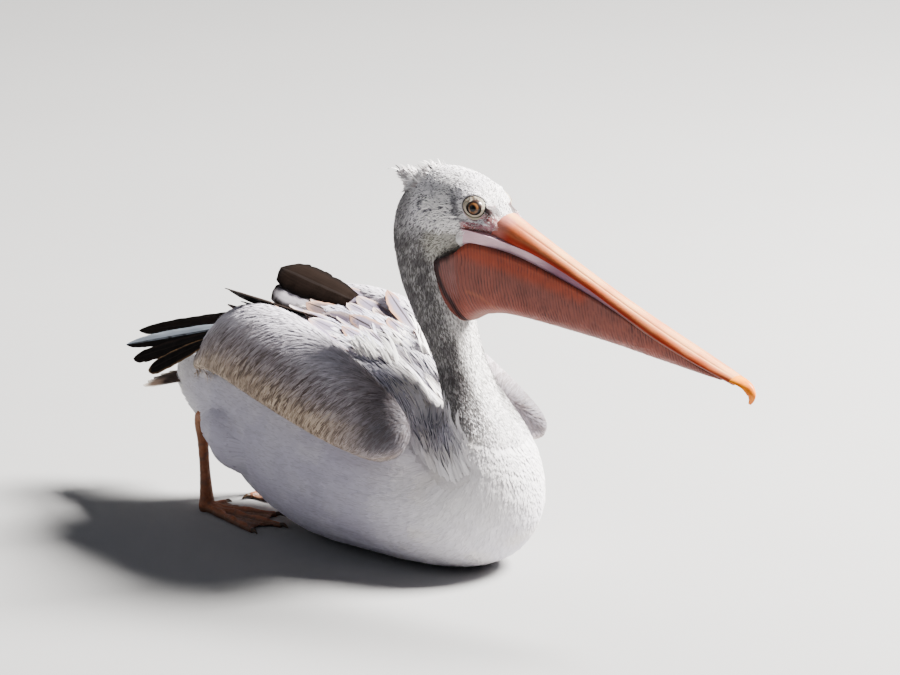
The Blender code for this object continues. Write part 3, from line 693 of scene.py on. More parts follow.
plumage = {
    "white": tone(243, 240, 238),
    "warmWhite": tone(238, 232, 222),
    "lilacWhite": tone(216, 212, 224),
    # the neck's own grey, darkened in part as painted shade
    "neckGreyAndShade": tone(82, 78, 82),
    "fleck": tone(60, 57, 62),
    "neckFleck": tone(62, 58, 57),
    "slate": tone(72, 73, 84),
    "shoulderSlate": tone(72, 72, 90),
    "chin": tone(190, 188, 170),
    "cream": tone(211, 190, 168),
    # the coverts' grey, partly painted bluish shade
    "coverts": tone(170, 149, 130),
    "covertGreyAndShade": tone(172, 166, 178),
    # painted shade of the lower flanks
    "flankShade": tone(170, 166, 188),
    "brown": tone(62, 42, 30),
    "greyBrown": tone(84, 74, 70),
    "lilac": tone(182, 180, 200),
}


# Slate lines on the side of the head, and one band of painted shadow below the cheek's bulge: both ends (y,
# z), core, outer edge and strength.
slateAndShadowLines = (
    ((-0.1432, 0.362), (-0.1382, 0.3762), 0.001, 0.0046, 0.8),
    ((-0.1382, 0.3762), (-0.1311, 0.383), 0.0012, 0.0044, 0.4),
    ((-0.1311, 0.383), (-0.098, 0.3835), 0.0008, 0.005, 0.12),
    ((-0.102, 0.362), (-0.1238, 0.3572), 0.0008, 0.0036, 0.75),
    # painted shadow below the cheek's bulge
    ((-0.0985, 0.3402), (-0.1202, 0.3327), 0.003, 0.009, 0.5),
    ((-0.07, 0.382), (-0.061, 0.379), 0.002, 0.007, 0.7),
)


def neckMarks(at, tint, strength):  # pale grey with dense flecks, whiter down the front and at its foot; the grey of the sides is partly painted shade
    trunk = at.families == "trunk"
    neck = np.isin(at.families, ["neck_lower", "neck_upper"]) | (trunk & (at.reach > neckBaseReach - 0.05))
    front = ease(np.cos(at.turn), -0.55, -0.97)
    dapple = ease(at.fine + 0.5 * at.broad, -0.55, 0.65)
    # Grey sides and a white front: the grey is partly painted shade.
    neckTint = blendTo(plumage["neckGreyAndShade"], plumage["white"],
                       np.clip(0.08 + 0.36 * dapple + 0.8 * front, 0, 1))
    onNeck = neck * ease(at.reach, neckBaseReach - 0.018, neckBaseReach + 0.035)
    onNeck = onNeck * (1 - 0.7 * trunk * ease(np.cos(at.turn), 0.1, 0.7))
    tint = blendTo(tint, neckTint, onNeck)
    onFoot = neck * ease(at.reach, neckBaseReach - 0.05, neckBaseReach - 0.02)
    mark = blendTo(plumage["greyBrown"], plumage["neckFleck"], onFoot)
    flecked = at.luck < 0.62 - 0.34 * front + 0.15 * at.fine
    fleckedNeck = neck * ease(at.reach, neckBaseReach - 0.045, neckBaseReach) * (1 - 0.6 * trunk)
    strength = strength * (1 - fleckedNeck) + fleckedNeck * flecked * (0.85 - 0.25 * front)
    return tint, mark, strength, neckTint, flecked


def headMarks(at, tint, mark, strength, neckTint, flecked):
    # Velvety white with sparse flecks, slate behind the eye, olive under the chin, and painted shade between
    # the cheek tufts and below the cheek's bulge.
    x, y, z = at.points.T
    head = at.families == "head"
    tint[head] = blendTo(plumage["white"], plumage["lilacWhite"], 0.4 + 0.3 * at.broad)[head]
    mark[head] = plumage["fleck"]
    strength = np.where(head, 0.9 * (at.luck < 0.24 + 0.14 * at.fine), strength)
    slate = np.zeros(len(at.points))
    for start, end, core, reachOut, power in slateAndShadowLines:
        gap = lineDistance(at.flat, start, end) + 0.0016 * at.fine
        slate = np.maximum(slate, power * (1 - ease(gap, core, reachOut)))
    slate *= head * ease(np.abs(x), 0.01, 0.02)
    tint = blendTo(tint, plumage["slate"], slate * 0.85)
    strength = np.maximum(strength, slate * 0.6 * (at.luck < 0.6))
    # Painted shade: slate mottling between the white cheek tufts.
    cheekShade = head * ease(roughField(at.points, 0.0034, 6), 0.05, -0.35) * ease(np.abs(x), 0.014, 0.022)
    cheekShade *= 1 - ease(lineDistance(at.flat, (-0.14, 0.348), (-0.104, 0.364)), 0.01, 0.022)
    tint = blendTo(tint, plumage["slate"], cheekShade * 0.72)
    nape = head * ease(y, -0.09, -0.062) * ease(-z, -0.386, -0.372)
    tint = blendTo(tint, neckTint, nape * 0.8)
    strength = np.maximum(strength, nape * 0.6 * (at.luck < 0.5))
    lowHead = head * ease(-z, -0.352, -0.326)
    tint = blendTo(tint, neckTint, lowHead * 0.9)
    strength = np.maximum(strength, lowHead * 0.7 * flecked)
    mark = blendTo(mark, plumage["neckFleck"], lowHead)
    chin = head * (1 - ease(z + 0.25 * (y + 0.11) + 0.003 * at.broad, 0.334, 0.347)) * ease(y, -0.15, -0.13)
    chin *= ease(-y, 0.086, 0.106)
    tint = blendTo(tint, plumage["chin"], chin * 0.55)
    strength = np.maximum(strength, chin * 0.4 * (at.luck < 0.5))
    mark = blendTo(mark, plumage["neckFleck"], chin)
    return tint, mark, strength


def wingMarks(at, tint, mark, strength):
    # Cream with brown flames; greyer towards the bend and over the upper middle, partly as painted bluish
    # shade; slate over the bend as painted shade; paler along the top, partly as painted light.
    y = at.points[:, 1]
    wing = at.families == "wing"
    bend = ease(-y, 0.03, 0.125)
    heightOn = wingHeight(at.points)
    top = ease(heightOn, 0.72, 0.96) * ease(y, -0.1, -0.02)
    flame = np.zeros(len(at.points))
    flame[wing] = flameShare(at.points[wing])
    flame *= (1 - 0.55 * bend) * (1 - 0.8 * top) * (0.8 + 0.25 * at.broad)
    spotted = np.minimum(lineDistance(at.flat, (-0.048, 0.1345), (-0.056, 0.1335)),
                         lineDistance(at.flat, (-0.056, 0.1335), (-0.076, 0.1285)) + 0.0012)
    spotted += 0.0012 * at.fine
    wingTint = layered(
        plumage["coverts"], plumage,
        ("cream", np.clip(0.5 + 0.5 * at.broad, 0, 1)),
        # Grey at the bend and over the upper middle: partly painted bluish shade.
        ("covertGreyAndShade", np.maximum(bend * 0.7, ease(heightOn, 0.35, 0.75) * 0.75)),
        # Painted shade: slate over the bend.
        ("slate", ease(-y, 0.07, 0.118) * ease(heightOn, 0.1, 0.42) * 0.72),
        # Paler along the top: partly the feathers' pale edges, partly painted light.
        ("lilacWhite", top * 0.75),
        ("brown", np.clip(flame, 0, 1) * 0.85),
        ("brown", (1 - ease(spotted, 0.0016, 0.0042)) * 0.9),
        ("cream", ease(heightOn, 0.16, 0.03) * (0.7 - 0.4 * bend)))
    tint[wing] = wingTint[wing]
    wingMark = blendTo(plumage["brown"], plumage["greyBrown"], np.clip(bend + 0.4 * top, 0, 1))
    mark[wing] = wingMark[wing]
    strength = np.where(wing, np.where(at.luck < 0.45, 0.6, 0.1) * (1 - 0.6 * top), strength)
    return tint, mark, strength


def shoulderMarks(at, tint, mark, strength):  # pale lilac grey, with slate streaks towards the neck
    _, y, z = at.points.T
    mantle = at.families == "mantle"
    forward = 1 - ease(y, -0.04, 0.06)
    shoulderTint = blendTo(plumage["lilac"], plumage["warmWhite"], np.clip(0.35 + 0.5 * at.broad, 0, 1))
    # Where the strip ends, its look passes into that of the breast.
    own = mantle * np.maximum(1 - ease(shoulderGap(at.points), 0.01, 0.021), ease(z, 0.15, 0.168))
    tint = blendTo(tint, shoulderTint, own)
    mark = blendTo(mark, blendTo(plumage["brown"], plumage["shoulderSlate"], forward), mantle)
    strength = strength * (1 - mantle) + own * np.where(at.luck < 0.7, 1.0, 0.2) * (0.6 + 0.4 * forward)
    return tint, mark, strength


def plumageTint(points, families, rng):
    # Returns the feather's own colour and its mark's colour, whose fourth number is its strength.
    reach, _, turn = alongSpine(points)
    at = SimpleNamespace(points=points, flat=points[:, 1:], families=families, reach=reach, turn=turn,
                         luck=rng.random(len(points)), broad=roughField(points, 0.018, 3),
                         fine=roughField(points, 0.0045, 5))
    # Breast, belly, flanks: white with a lilac cast, deepened low down and on the lower flanks as painted
    # shade, cream where it meets the wing.
    x, y, z = points.T
    flankShade = ease(np.abs(x), 0.03, 0.07) * ease(y, -0.17, -0.07) * ease(-z, -0.19, -0.12)
    tint = layered(plumage["white"], plumage,
                   ("lilacWhite", 0.35 + 0.45 * ease(z, 0.12, 0.02) + 0.15 * at.broad),
                   ("warmWhite", ease(at.broad, 0.1, 0.8) * 0.5),
                   # Painted shade: darker lilac grey over the lower flanks.
                   ("flankShade", flankShade * (0.75 + 0.15 * at.broad)))
    tint, mark, strength, neckTint, flecked = neckMarks(at, tint, 0.2 * (at.luck > 0.55))
    tint, mark, strength = headMarks(at, tint, mark, strength, neckTint, flecked)
    for dress in (wingMarks, shoulderMarks):
        tint, mark, strength = dress(at, tint, mark, strength)
    return tint, np.column_stack([mark, np.clip(strength, 0, 1)])


# Coat: closed locks and vanes laid over the skin.
neighbours = list(itertools.product((-1, 0, 1), repeat=3))


def crowded(spot, cell, cells, gap):  # whether a point kept before stands nearer than the gap
    (x, y, z), (column, row, level) = spot, cell
    for i, j, k in neighbours:
        for ox, oy, oz in cells.get((column + i, row + j, level + k), ()):
            if (x - ox) ** 2 + (y - oy) ** 2 + (z - oz) ** 2 < gap * gap:
                return True
    return False


def spread(points, gaps):  # keeps points that stand at least their own gap from those kept before
    cells, kept = {}, []
    keys = np.floor(points / float(np.max(gaps))).astype(int).tolist()
    for i, (cell, spot) in enumerate(zip(keys, points.tolist())):
        if not crowded(spot, cell, cells, gaps[i]):
            cells.setdefault(tuple(cell), []).append(spot)
            kept.append(i)
    return np.array(kept, int)


faceTris = np.vstack([skinQuads[:, [0, 1, 2]], skinQuads[:, [0, 2, 3]], skinTris])
faceMiddles = skinPoints[faceTris].mean(axis=1)
faceFamily = skinFamily[faceTris[:, 0]]
faceArea = np.linalg.norm(np.cross(skinPoints[faceTris[:, 1]] - skinPoints[faceTris[:, 0]],
                                   skinPoints[faceTris[:, 2]] - skinPoints[faceTris[:, 0]]), axis=1) / 2
skinBare = bareFace(skinPoints)


def steady(value):  # the same value at every point
    return lambda points: np.full(len(points), value)


def rootsOn(faceMask, gapAt, rng, crowd=3.4):  # evenly spread roots over some of the skin's triangles
    chosen = np.flatnonzero(faceMask)
    weight = faceArea[chosen] / gapAt(faceMiddles[chosen]) ** 2
    count = int(weight.sum() * crowd)
    pick = chosen[rng.choice(len(chosen), count, p=weight / weight.sum())]
    a, b = rng.random(count), rng.random(count)
    flip = a + b > 1
    a[flip], b[flip] = 1 - a[flip], 1 - b[flip]
    shares = np.column_stack([1 - a - b, a, b])
    spots = np.einsum("ij,ijk->ik", shares, skinPoints[faceTris[pick]])
    kept = spread(spots, gapAt(spots))
    normals = unit(np.einsum("ij,ijk->ik", shares[kept], skinNormals[faceTris[pick[kept]]]))
    return spots[kept], normals, faceFamily[pick[kept]]


def landing(spots):  # the nearest points of the skin and the way it faces there
    ends, normals = np.empty_like(spots), np.empty_like(spots)
    for i, spot in enumerate(spots.tolist()):
        near, normal, _, _ = skinTree.find_nearest(spot)
        ends[i], normals[i] = near, normal
    return ends, normals


def vaneOutline(along, shape):  # half width of a feather along its length, as a share
    if shape == "lock":
        return np.sin(np.pi * np.clip(along * 0.86 + 0.14, 0, 1) ** 0.8) ** 0.9
    if shape == "lance":
        return np.minimum(1, 0.35 + 2.2 * along) * (1 - along ** 2.6) ** 0.75
    tipRound = np.sqrt(np.maximum(1 - (np.maximum(along - 0.55, 0) / 0.45) ** 2, 0))
    return np.minimum(1, 0.42 + 1.9 * along) * tipRound


def lockPaths(roots, normals, flow, look, rng):
    # Every lock leaves the skin and lies back along it. For each row of its points, root to tip:
    # the place on its middle line, the ways up and beside it, and the half width short of the tip.
    count, along = len(roots), np.arange(look["rows"] + 1) / look["rows"]
    length = look["length"](roots) * rng.uniform(0.82, 1.18, count)
    width = look["width"](roots) * rng.uniform(0.85, 1.15, count)
    unruly = look.get("unruly", 0.28)     # how much the tufts differ in height
    rise = look["rise"](roots) * rng.uniform(1 - unruly, 1 + 0.8 * unruly, count)
    if "clump" in look:
        rise = rise * (1 + look["clump"][0] * roughField(roots, look["clump"][1], 96))
    sway = rng.normal(0, look["sway"], count)[:, None]
    heading = unit(flow * np.cos(sway) + np.cross(normals, flow) * np.sin(sway))
    reached = roots + heading * length[:, None]
    ends, endNormals = landing(reached)
    free = look.get("free", 0.0)      # 1 leaves the tips where they point, 0 lays them on the skin
    ends = ends * (1 - free) + reached * free
    pull, endPull = heading * length[:, None], inPlane(heading, endNormals) * length[:, None]
    s = along[None, :, None]
    path = ((2 * s ** 3 - 3 * s ** 2 + 1) * roots[:, None] + (3 * s ** 2 - 2 * s ** 3) * ends[:, None]
            + (s ** 3 - 2 * s ** 2 + s) * pull[:, None] + (s ** 3 - s ** 2) * endPull[:, None])
    up = unit(normals[:, None] * (1 - s) + endNormals[:, None] * s)
    beside = unit(np.cross(up, unit(np.gradient(path, axis=1))))
    climb = along ** look["climb"] if "climb" in look else np.sin(along * math.pi / 2) ** 0.8
    lift = look["sink"] + (rise[:, None] - look["sink"]) * climb[None]
    curl = rng.normal(0, look["curl"], count)[:, None] * length[:, None] * along[None] ** 2
    path = path + up * lift[..., None] + beside * curl[..., None]
    outline = np.maximum(vaneOutline(along[:-1], look["shape"]), 0.12)
    return path, up, beside, width[:, None] / 2 * outline[None]


def lockFaces(rows, cols):  # one lock's quads and triangles, and how many of each look up
    upper = [(r * cols + c, (r + 1) * cols + c, (r + 1) * cols + c + 1, r * cols + c + 1)
             for r in range(rows - 1) for c in range(cols - 1)]
    under = [(r * cols + cols - 1, (r + 1) * cols + cols - 1, (r + 1) * cols, r * cols)
             for r in range(rows - 1)]
    last, tip = (rows - 1) * cols, rows * cols
    tipTop = [(last + c, tip, last + c + 1) for c in range(cols - 1)]
    tipUnder = [(last + cols - 1, tip, last)] + [(0, c, c + 1) for c in range(1, cols - 1)]
    return np.array(upper + under), np.array(tipTop + tipUnder), len(upper), len(tipTop)


def lockRim(rows, cols):  # which pairs of a lock's points end an edge between its two faces
    tip = rows * cols
    rim = np.zeros((tip + 1, tip + 1), bool)
    for c in (0, cols - 1):
        lane = np.append(np.arange(rows) * cols + c, tip)
        rim[lane[:-1], lane[1:]] = True
    rim[range(cols - 1), range(1, cols)] = True
    return rim | rim.T


def growCoat(name, roots, normals, flow, look, tints, marks, rng):
    count, rows, cols = len(roots), look["rows"], look["cols"]
    path, up, beside, half = lockPaths(roots, normals, flow, look, rng)
    spots = np.linspace(-1, 1, cols)
    camber = look["camber"] * (1 - spots ** 2)
    tilt = rng.normal(0, look["roll"], count)[:, None, None]
    body = (path[:, :-1, None] + beside[:, :-1, None] * (half[..., None] * spots)[..., None]
            + up[:, :-1, None] * (half[..., None] * (camber + tilt * spots))[..., None])
    tip = rows * cols      # the number of the last point of each lock
    points = np.concatenate([body.reshape(count, tip, 3), path[:, -1:]], axis=1).reshape(-1, 3)
    quads, tris, topQuads, topTris = lockFaces(rows, cols)
    starts = (np.arange(count) * (tip + 1))[:, None, None]
    mesh = meshFrom(name, points, quads + starts, tris + starts)
    vane = np.zeros((count, tip + 1, 3))
    vane[:, :tip, 0] = np.tile(spots, rows)
    vane[:, :tip, 1] = np.repeat(np.arange(rows) / rows, cols)
    vane[:, tip, 1] = 1
    vane[:, :, 2] = rng.random(count)[:, None]
    note(mesh, "vane", vane.reshape(-1, 3))
    # The light falls on the plumage as on one soft surface, so each vane looks partly its skin's way.
    own = pointNormals(points, (quads[:topQuads] + starts).reshape(-1, 4))
    whole = np.concatenate([np.repeat(up[:, :-1], cols, axis=1), up[:, -1:]], axis=1)
    facing = unit(blendTo(own, whole.reshape(-1, 3), look["soft"]))[cornerPoints(mesh)]
    signs = [np.tile(np.where(np.arange(len(faces)) < top, 1.0, -1.0), count).repeat(faces.shape[1])
             for faces, top in ((quads, topQuads), (tris, topTris))]
    layer = mesh.attributes.new("custom_normal", "FLOAT_VECTOR", "CORNER")
    layer.data.foreach_set("vector", (facing * np.concatenate(signs)[:, None]).astype(np.float32).ravel())
    # The rim between the two faces of a vane is sharp, so each keeps its own way.
    ends = meshArrays(mesh)[1] % (tip + 1)
    sharp = mesh.attributes.new("sharp_edge", "BOOLEAN", "EDGE")
    sharp.data.foreach_set("value", lockRim(rows, cols)[ends[:, 0], ends[:, 1]])
    shade = rng.normal(1, look["shadeSpread"], count).clip(0.6, 1.25)
    paint(mesh, "tint", np.repeat(tints * shade[:, None], tip + 1, axis=0))
    paint(mesh, "mark", np.repeat(marks, tip + 1, axis=0))
    layPatches(mesh, roots, vane)
    print(name, ":", count, "feathers")
    return mesh


# Brown flames on the wings.
flames = {"gap": 0.0074, "half": 0.0013, "reach": 0.005, "soft": 0.0011}


def growFlames():  # the middle of each flame and the way it runs
    rng = np.random.default_rng(3)
    spots, normals, families = rootsOn(faceFamily == "wing", steady(flames["gap"]), rng, 2.0)
    tree = KDTree(len(spots))
    for number, spot in enumerate(spots.tolist()):
        tree.insert(spot, number)
    tree.balance()
    return spots, lieOf(spots, normals, families), tree


flameSpots, flameFlows, flameTree = growFlames()


def flameShare(points):  # 1 on a flame, 0 between them
    if not len(points):
        return np.zeros(0)
    near = np.array([[number for _, number, _ in flameTree.find_n(point, 3)] for point in points.tolist()])
    offset = points[:, None] - flameSpots[near]
    along = np.sum(offset * flameFlows[near], axis=2)
    aside = np.sqrt(np.maximum(np.sum(offset ** 2, axis=2) - along ** 2, 0))
    share = 1 - ease(aside, flames["half"] - flames["soft"] / 2, flames["half"] + flames["soft"])
    return np.max(share * (1 - ease(np.abs(along), flames["reach"], flames["reach"] * 1.45)), axis=1)


def layPatches(mesh, roots, vane):  # a small patch of the unwrapped skin for each feather
    reach, _, turn = alongSpine(roots)
    low, high = reach.min(), reach.max()
    home = np.column_stack([0.5 + turn / (2 * math.pi) * 0.96,
                            0.02 + 0.96 * (reach - low) / max(high - low, 1e-6)])
    patch = 0.003
    spots = home[:, None] + np.stack([vane[..., 0] / 2, vane[..., 1] - 0.5], axis=-1) * patch
    layMap(mesh, spots.reshape(-1, 2))


# Pouch, legs and the whole skin.
pouch = {
    # Top line (y, z), bottom line (y, z) and half width, from the throat to the tip.
    "stations": np.array([
        (-0.096, 0.306, -0.118, 0.246, 0.02), (-0.123, 0.317, -0.136, 0.2503, 0.028),
        (-0.139, 0.324, -0.146, 0.2555, 0.0322), (-0.156, 0.336, -0.158, 0.2605, 0.0308),
        (-0.182, 0.335, -0.184, 0.265, 0.0268), (-0.215, 0.329, -0.219, 0.265, 0.0212),
        (-0.262, 0.317, -0.268, 0.263, 0.0158), (-0.32, 0.301, -0.326, 0.26, 0.0132),
        (-0.385, 0.279, -0.39, 0.255, 0.0122), (-0.44, 0.261, -0.443, 0.2512, 0.01),
        (-0.466, 0.2535, -0.468, 0.2496, 0.007)]),
    "rings": 460,
    "round": 96,
    "inset": 0.0006,
    "wrinkleGap": 0.0037,     # from one upright wrinkle to the next
    "wrinkleDepth": 0.00034,
}


def smoothRows(rows, count):  # a smooth curve through rows of numbers
    rows = np.asarray(rows, float)
    t = np.linspace(0, len(rows) - 1, count)
    i = np.minimum(t.astype(int), len(rows) - 2)
    f = (t - i)[:, None]
    p, q = rows[np.maximum(i - 1, 0)], rows[i]
    r, s = rows[i + 1], rows[np.minimum(i + 2, len(rows) - 1)]
    return 0.5 * (2 * q + (r - p) * f + (2 * p - 5 * q + 4 * r - s) * f ** 2
                  + (3 * q - p - 3 * r + s) * f ** 3)


def pouchSurface():
    rows = smoothRows(pouch["stations"], pouch["rings"])
    turn = np.linspace(0, math.pi, pouch["round"])
    hang = np.sin(turn) ** 0.72
    across = np.cos(turn)
    top = np.column_stack([0 * rows[:, 0], rows[:, 0], rows[:, 1]])
    low = np.column_stack([0 * rows[:, 0], rows[:, 2], rows[:, 3]])
    half = rows[:, 4] - pouch["inset"]
    depth = np.linalg.norm(top - low, axis=1)
    drop = (1 - pouch["inset"] / depth)[:, None] * hang
    points = top[:, None] + (low - top)[:, None] * drop[..., None]
    points[..., 0] += half[:, None] * across
    return points


def wrinkles(points, along):  # height of the upright wrinkles, crest 1 and furrow -1
    sway = roughField(points, 0.016, 21) * 1.1 + roughField(points, 0.005, 22) * 0.55
    phase = along / pouch["wrinkleGap"] * 2 * math.pi + sway * 2.2
    main = np.cos(phase) * (0.72 + 0.5 * roughField(points, 0.006, 24))
    second = np.cos(phase * 2.13 + 1.3 + roughField(points, 0.01, 23) * 2)
    return 0.85 * main + 0.35 * second


def buildPouch():
    points = pouchSurface()
    rings, sides = points.shape[:2]
    middle = points.mean(axis=1, keepdims=True)
    step = np.linalg.norm(np.diff(points[:, sides // 2], axis=0), axis=1)
    along = np.concatenate([[0], np.cumsum(step)])
    flat = points.reshape(-1, 3)
    reach = np.repeat(along, sides)
    height = wrinkles(flat, reach)
    out = unit(points - middle).reshape(-1, 3)
    out[:, 1] = 0
    out = unit(out)
    fade = np.tile(ease(np.sin(np.linspace(0, math.pi, sides)), 0.02, 0.25), rings)
    flat = flat + out * (height * pouch["wrinkleDepth"] * fade)[:, None]
    quads = tubeFaces(rings, sides)
    caps = [(start, start + k + 1, start + k) if start else (start, start + k, start + k + 1)
            for start in (0, (rings - 1) * sides) for k in range(1, sides - 1)]
    hang = np.tile(np.sin(np.linspace(0, math.pi, sides)), rings)
    return flat, quads, np.array(caps), height, hang


pouchTones = {
    "salmon": tone(135, 71, 59),
    "brick": tone(113, 63, 55),
    "furrow": tone(44, 31, 31),
    "rim": tone(24, 9, 14),
    "fold": tone(140, 80, 60),
    "under": tone(104, 62, 44),
    "orange": tone(150, 55, 24),
}
pouchLines = {  # y and z along the dark rim at the throat and along a pale fold
    "rim": ((-0.1266, 0.3183), (-0.11, 0.312), (-0.104, 0.302), (-0.1044, 0.2941), (-0.1141, 0.2786),
            (-0.1244, 0.2681), (-0.1295, 0.2531)),
    "fold": ((-0.1517, 0.286), (-0.1657, 0.2828), (-0.18, 0.27)),
}


def pouchTint(points, height, hang):
    broad = roughField(points, 0.03, 31)
    flat = points[:, 1:]
    ramus = lineDistance(flat, (-0.148, 0.3316), (-0.291, 0.3069))
    shade = 0.75 + 0.45 * roughField(points, 0.014, 33) + 0.3 * roughField(points, 0.004, 35)
    fold = pathDistance(flat, pouchLines["fold"])
    rim = pathDistance(flat, pouchLines["rim"]) + 0.0008 * roughField(points, 0.004, 34)
    rim = np.where(points[:, 1] > -0.104, 1.0, 1 - ease(rim, 0.0028, 0.0062))
    return layered(
        pouchTones["salmon"], pouchTones,
        ("brick", np.clip(0.5 + 0.4 * broad, 0, 1)),
        ("orange", (1 - ease(ramus, 0.003, 0.016)) * 0.7),
        ("furrow", np.clip(ease(-height, -0.15, 0.8) * shade, 0, 1) * 0.85),
        ("fold", (1 - ease(fold, 0.0004, 0.0034)) * 0.6),
        ("under", ease(hang, 0.9, 0.99) * 0.6),
        ("rim", rim * 0.9))


faceTones = {
    "bare": tone(160, 108, 118),
    "pale": tone(214, 200, 192),
    "lores": tone(32, 15, 15),
    "blush": tone(104, 52, 46),
    "lidEdge": tone(26, 20, 20),
    "ring": tone(182, 171, 152),
    # painted shade in the ring's folds
    "creaseShade": tone(104, 92, 80),
    # painted shade in the ring's outer groove and the fold below it
    "line": tone(22, 18, 20),
    "pink": tone(190, 112, 100),
    "root": tone(182, 112, 96),
}


def faceTint(points):
    flat = points[:, 1:]
    warts = roughField(points, 0.0013, 41)
    cloud = roughField(points, 0.005, 42)
    mouth = lineDistance(flat, (-0.15, 0.349), (-0.192, 0.3432))
    blush = lineDistance(flat, (-0.173, 0.364), (-0.185, 0.3585)) + 0.001 * warts
    dark = np.minimum(lineDistance(flat, (-0.1672, 0.3712), (-0.1755, 0.3672)),
                      lineDistance(flat, (-0.1755, 0.3672), (-0.185, 0.3635)) + 0.0012)
    tint = layered(
        faceTones["bare"], faceTones,
        ("pale", np.clip(0.15 + 0.35 * warts + 0.25 * cloud, 0, 1)),
        ("pink", (1 - ease(mouth, 0.001, 0.006)) * 0.8),
        ("blush", (1 - ease(blush, 0.0012, 0.0042)) * 0.7),
        ("root", ease(-flat[:, 0] + 0.002 * cloud, 0.178, 0.19) * 0.8),
        ("lores", (1 - ease(dark + 0.0012 * warts, 0.0024, 0.0056)) * 0.95))
    for side in sides:
        at = roundEye(points, side)
        first, second, outer, under = lidCreases(at)
        tint = layered(
            tint, faceTones,
            ("ring", at.own * (1 - ease(at.share - 0.45 * at.below, 0.98, 1.08))),
            # Painted shade: the ring's fold lines and its outer groove are darkened, most at the upper rear.
            ("creaseShade", at.own * np.clip(0.6 * first + 0.75 * second, 0, 1)),
            ("line", at.own * np.clip(1.3 * outer * (1 - 0.5 * at.below) + 0.8 * under, 0, 1)),
            ("lidEdge", at.own * (1 - ease(at.openings, 1.04, 1.13))))
    return tint


leg = {
    "hip": np.array([0.054, 0.16, 0.098]),
    "ankle": np.array([0.046, 0.209, 0.1]),
    "heel": np.array([0.046, 0.202, 0.013]),
    "shankRadius": 0.0066,
    "shank": np.array([(-0.02, 0.95), (0.06, 1.12), (0.16, 1.1), (0.3, 0.88), (0.6, 0.8), (0.85, 0.95),
                       (1.02, 1.15)]),
    "toeRadius": 0.0049,
    "toe": np.array([(-0.04, 1.05), (0.15, 1.0), (0.4, 0.85), (0.7, 0.75), (0.92, 0.68), (1.0, 0.45)]),
    # Length, degrees outward from straight ahead, and joints of each toe.
    "toes": {"hind": (0.03, -96, 1), "inner": (0.076, -27, 2), "middle": (0.101, -5, 3),
             "outer": (0.098, 15, 4)},
    "web": 0.0026,
    "scoop": (0.06, 0.17),    # how far short of the tips the web stops, at a toe and between two
}
legTones = {"shank": tone(140, 84, 52), "web": tone(98, 68, 50), "joint": tone(166, 112, 74),
            "pad": tone(86, 66, 56)}


def toeWay(angle):
    turn = math.radians(angle)
    return np.array([math.sin(turn), -math.cos(turn), 0.0])


def tubeAlong(points, radii, around, flat=1.0):  # a closed tube round a path, as rings
    heading = unit(np.gradient(points, axis=0))
    across = unit(np.cross(heading, np.array([0.0, 0.0, 1.0]) + heading[:, [1, 2, 0]] * 0.01))
    up = np.cross(across, heading)
    turn = 2 * math.pi * np.arange(around) / around
    return points[:, None] + (across[:, None] * np.cos(turn)[None, :, None]
                              + up[:, None] * np.sin(turn)[None, :, None] * flat) * radii[:, None, None]


def legParts():  # rings of the shank and toes, and the web's sheets, of the left leg
    rows = smoothRows(leg["shank"], 60)
    path = leg["ankle"] + (leg["heel"] - leg["ankle"]) * rows[:, :1]
    shank = tubeAlong(path, leg["shankRadius"] * rows[:, 1] * (1 + 0.02 * np.sin(rows[:, 0] * 140)), 28)
    drum = np.linspace(0, 1, 30)[:, None]
    path = leg["hip"] + (leg["ankle"] - leg["hip"]) * drum
    parts = [shank, tubeAlong(path, leg["shankRadius"] * (1.9 - 0.85 * drum[:, 0]), 28)]
    base = np.array([leg["heel"][0], leg["heel"][1], 0.0])
    lines = []
    for length, angle, joints in leg["toes"].values():
        rows = smoothRows(leg["toe"], 48)
        swell = rows[:, 1] * (1 + 0.13 * np.cos(2 * math.pi * (rows[:, 0] * joints - 0.15)) * (joints > 1))
        radii = leg["toeRadius"] * swell
        path = base + toeWay(angle) * (length * rows[:, :1]) + np.array([0, 0, 0.8]) * radii[:, None]
        parts.append(tubeAlong(path, radii, 24))
        lines.append((base, base + toeWay(angle) * length))
    knob = np.linspace(0, 1, 12)
    path = base + np.array([0, 0, 0.0125]) * knob[:, None]
    parts.append(tubeAlong(path, 0.0074 + 0.001 * np.sin(knob * math.pi), 24))
    atToe, between = leg["scoop"]
    t = np.linspace(0, 1, 28)
    s = np.linspace(0.0, 1, 30)[:, None]
    for (_, tipA), (_, tipB) in zip(lines, lines[1:]):
        edge = 1 - atToe - (between - atToe) * np.sin(math.pi * t) ** 0.8
        reach = (tipA - base) * (1 - t)[:, None] + (tipB - base) * t[:, None]
        spot = base + reach[None] * (edge[None] * s)[..., None]
        fold = 0.0007 * np.cos(t * math.pi * 6)[None] * s + 0.0006 * np.sin(math.pi * t)[None]
        spot[..., 2] = 0.003 + fold
        lower = spot - np.array([0, 0, leg["web"]])
        parts.append(np.concatenate([spot, lower[:, ::-1]], axis=1))
    return parts


def buildLegs():
    parts = []
    for side in sides:
        for rings in legParts():
            mesh = loftMesh("legPart", rings * flips[side])
            parts.append(weldedArrays(mesh, 1e-7))
            bpy.data.meshes.remove(mesh)
    mesh = remeshed(*joined(parts), 0.0009)
    points, edges = meshArrays(mesh)
    points = relax(points, edges, 2)
    points[:, 2] = np.maximum(points[:, 2], 0.0)
    return points, *facesOf(mesh)


def legTint(points):
    tint = layered(legTones["shank"], legTones,
                   ("web", (1 - ease(points[:, 2], 0.0035, 0.0065)) * 0.85),
                   ("joint", np.exp(-((points[:, 2] - 0.09) / 0.012) ** 2) * 0.6),
                   ("pad", ease(roughField(points, 0.005, 51), 0.1, 0.8) * 0.5))
    return tint * (1 + 0.1 * roughField(points, 0.0018, 52))[:, None]


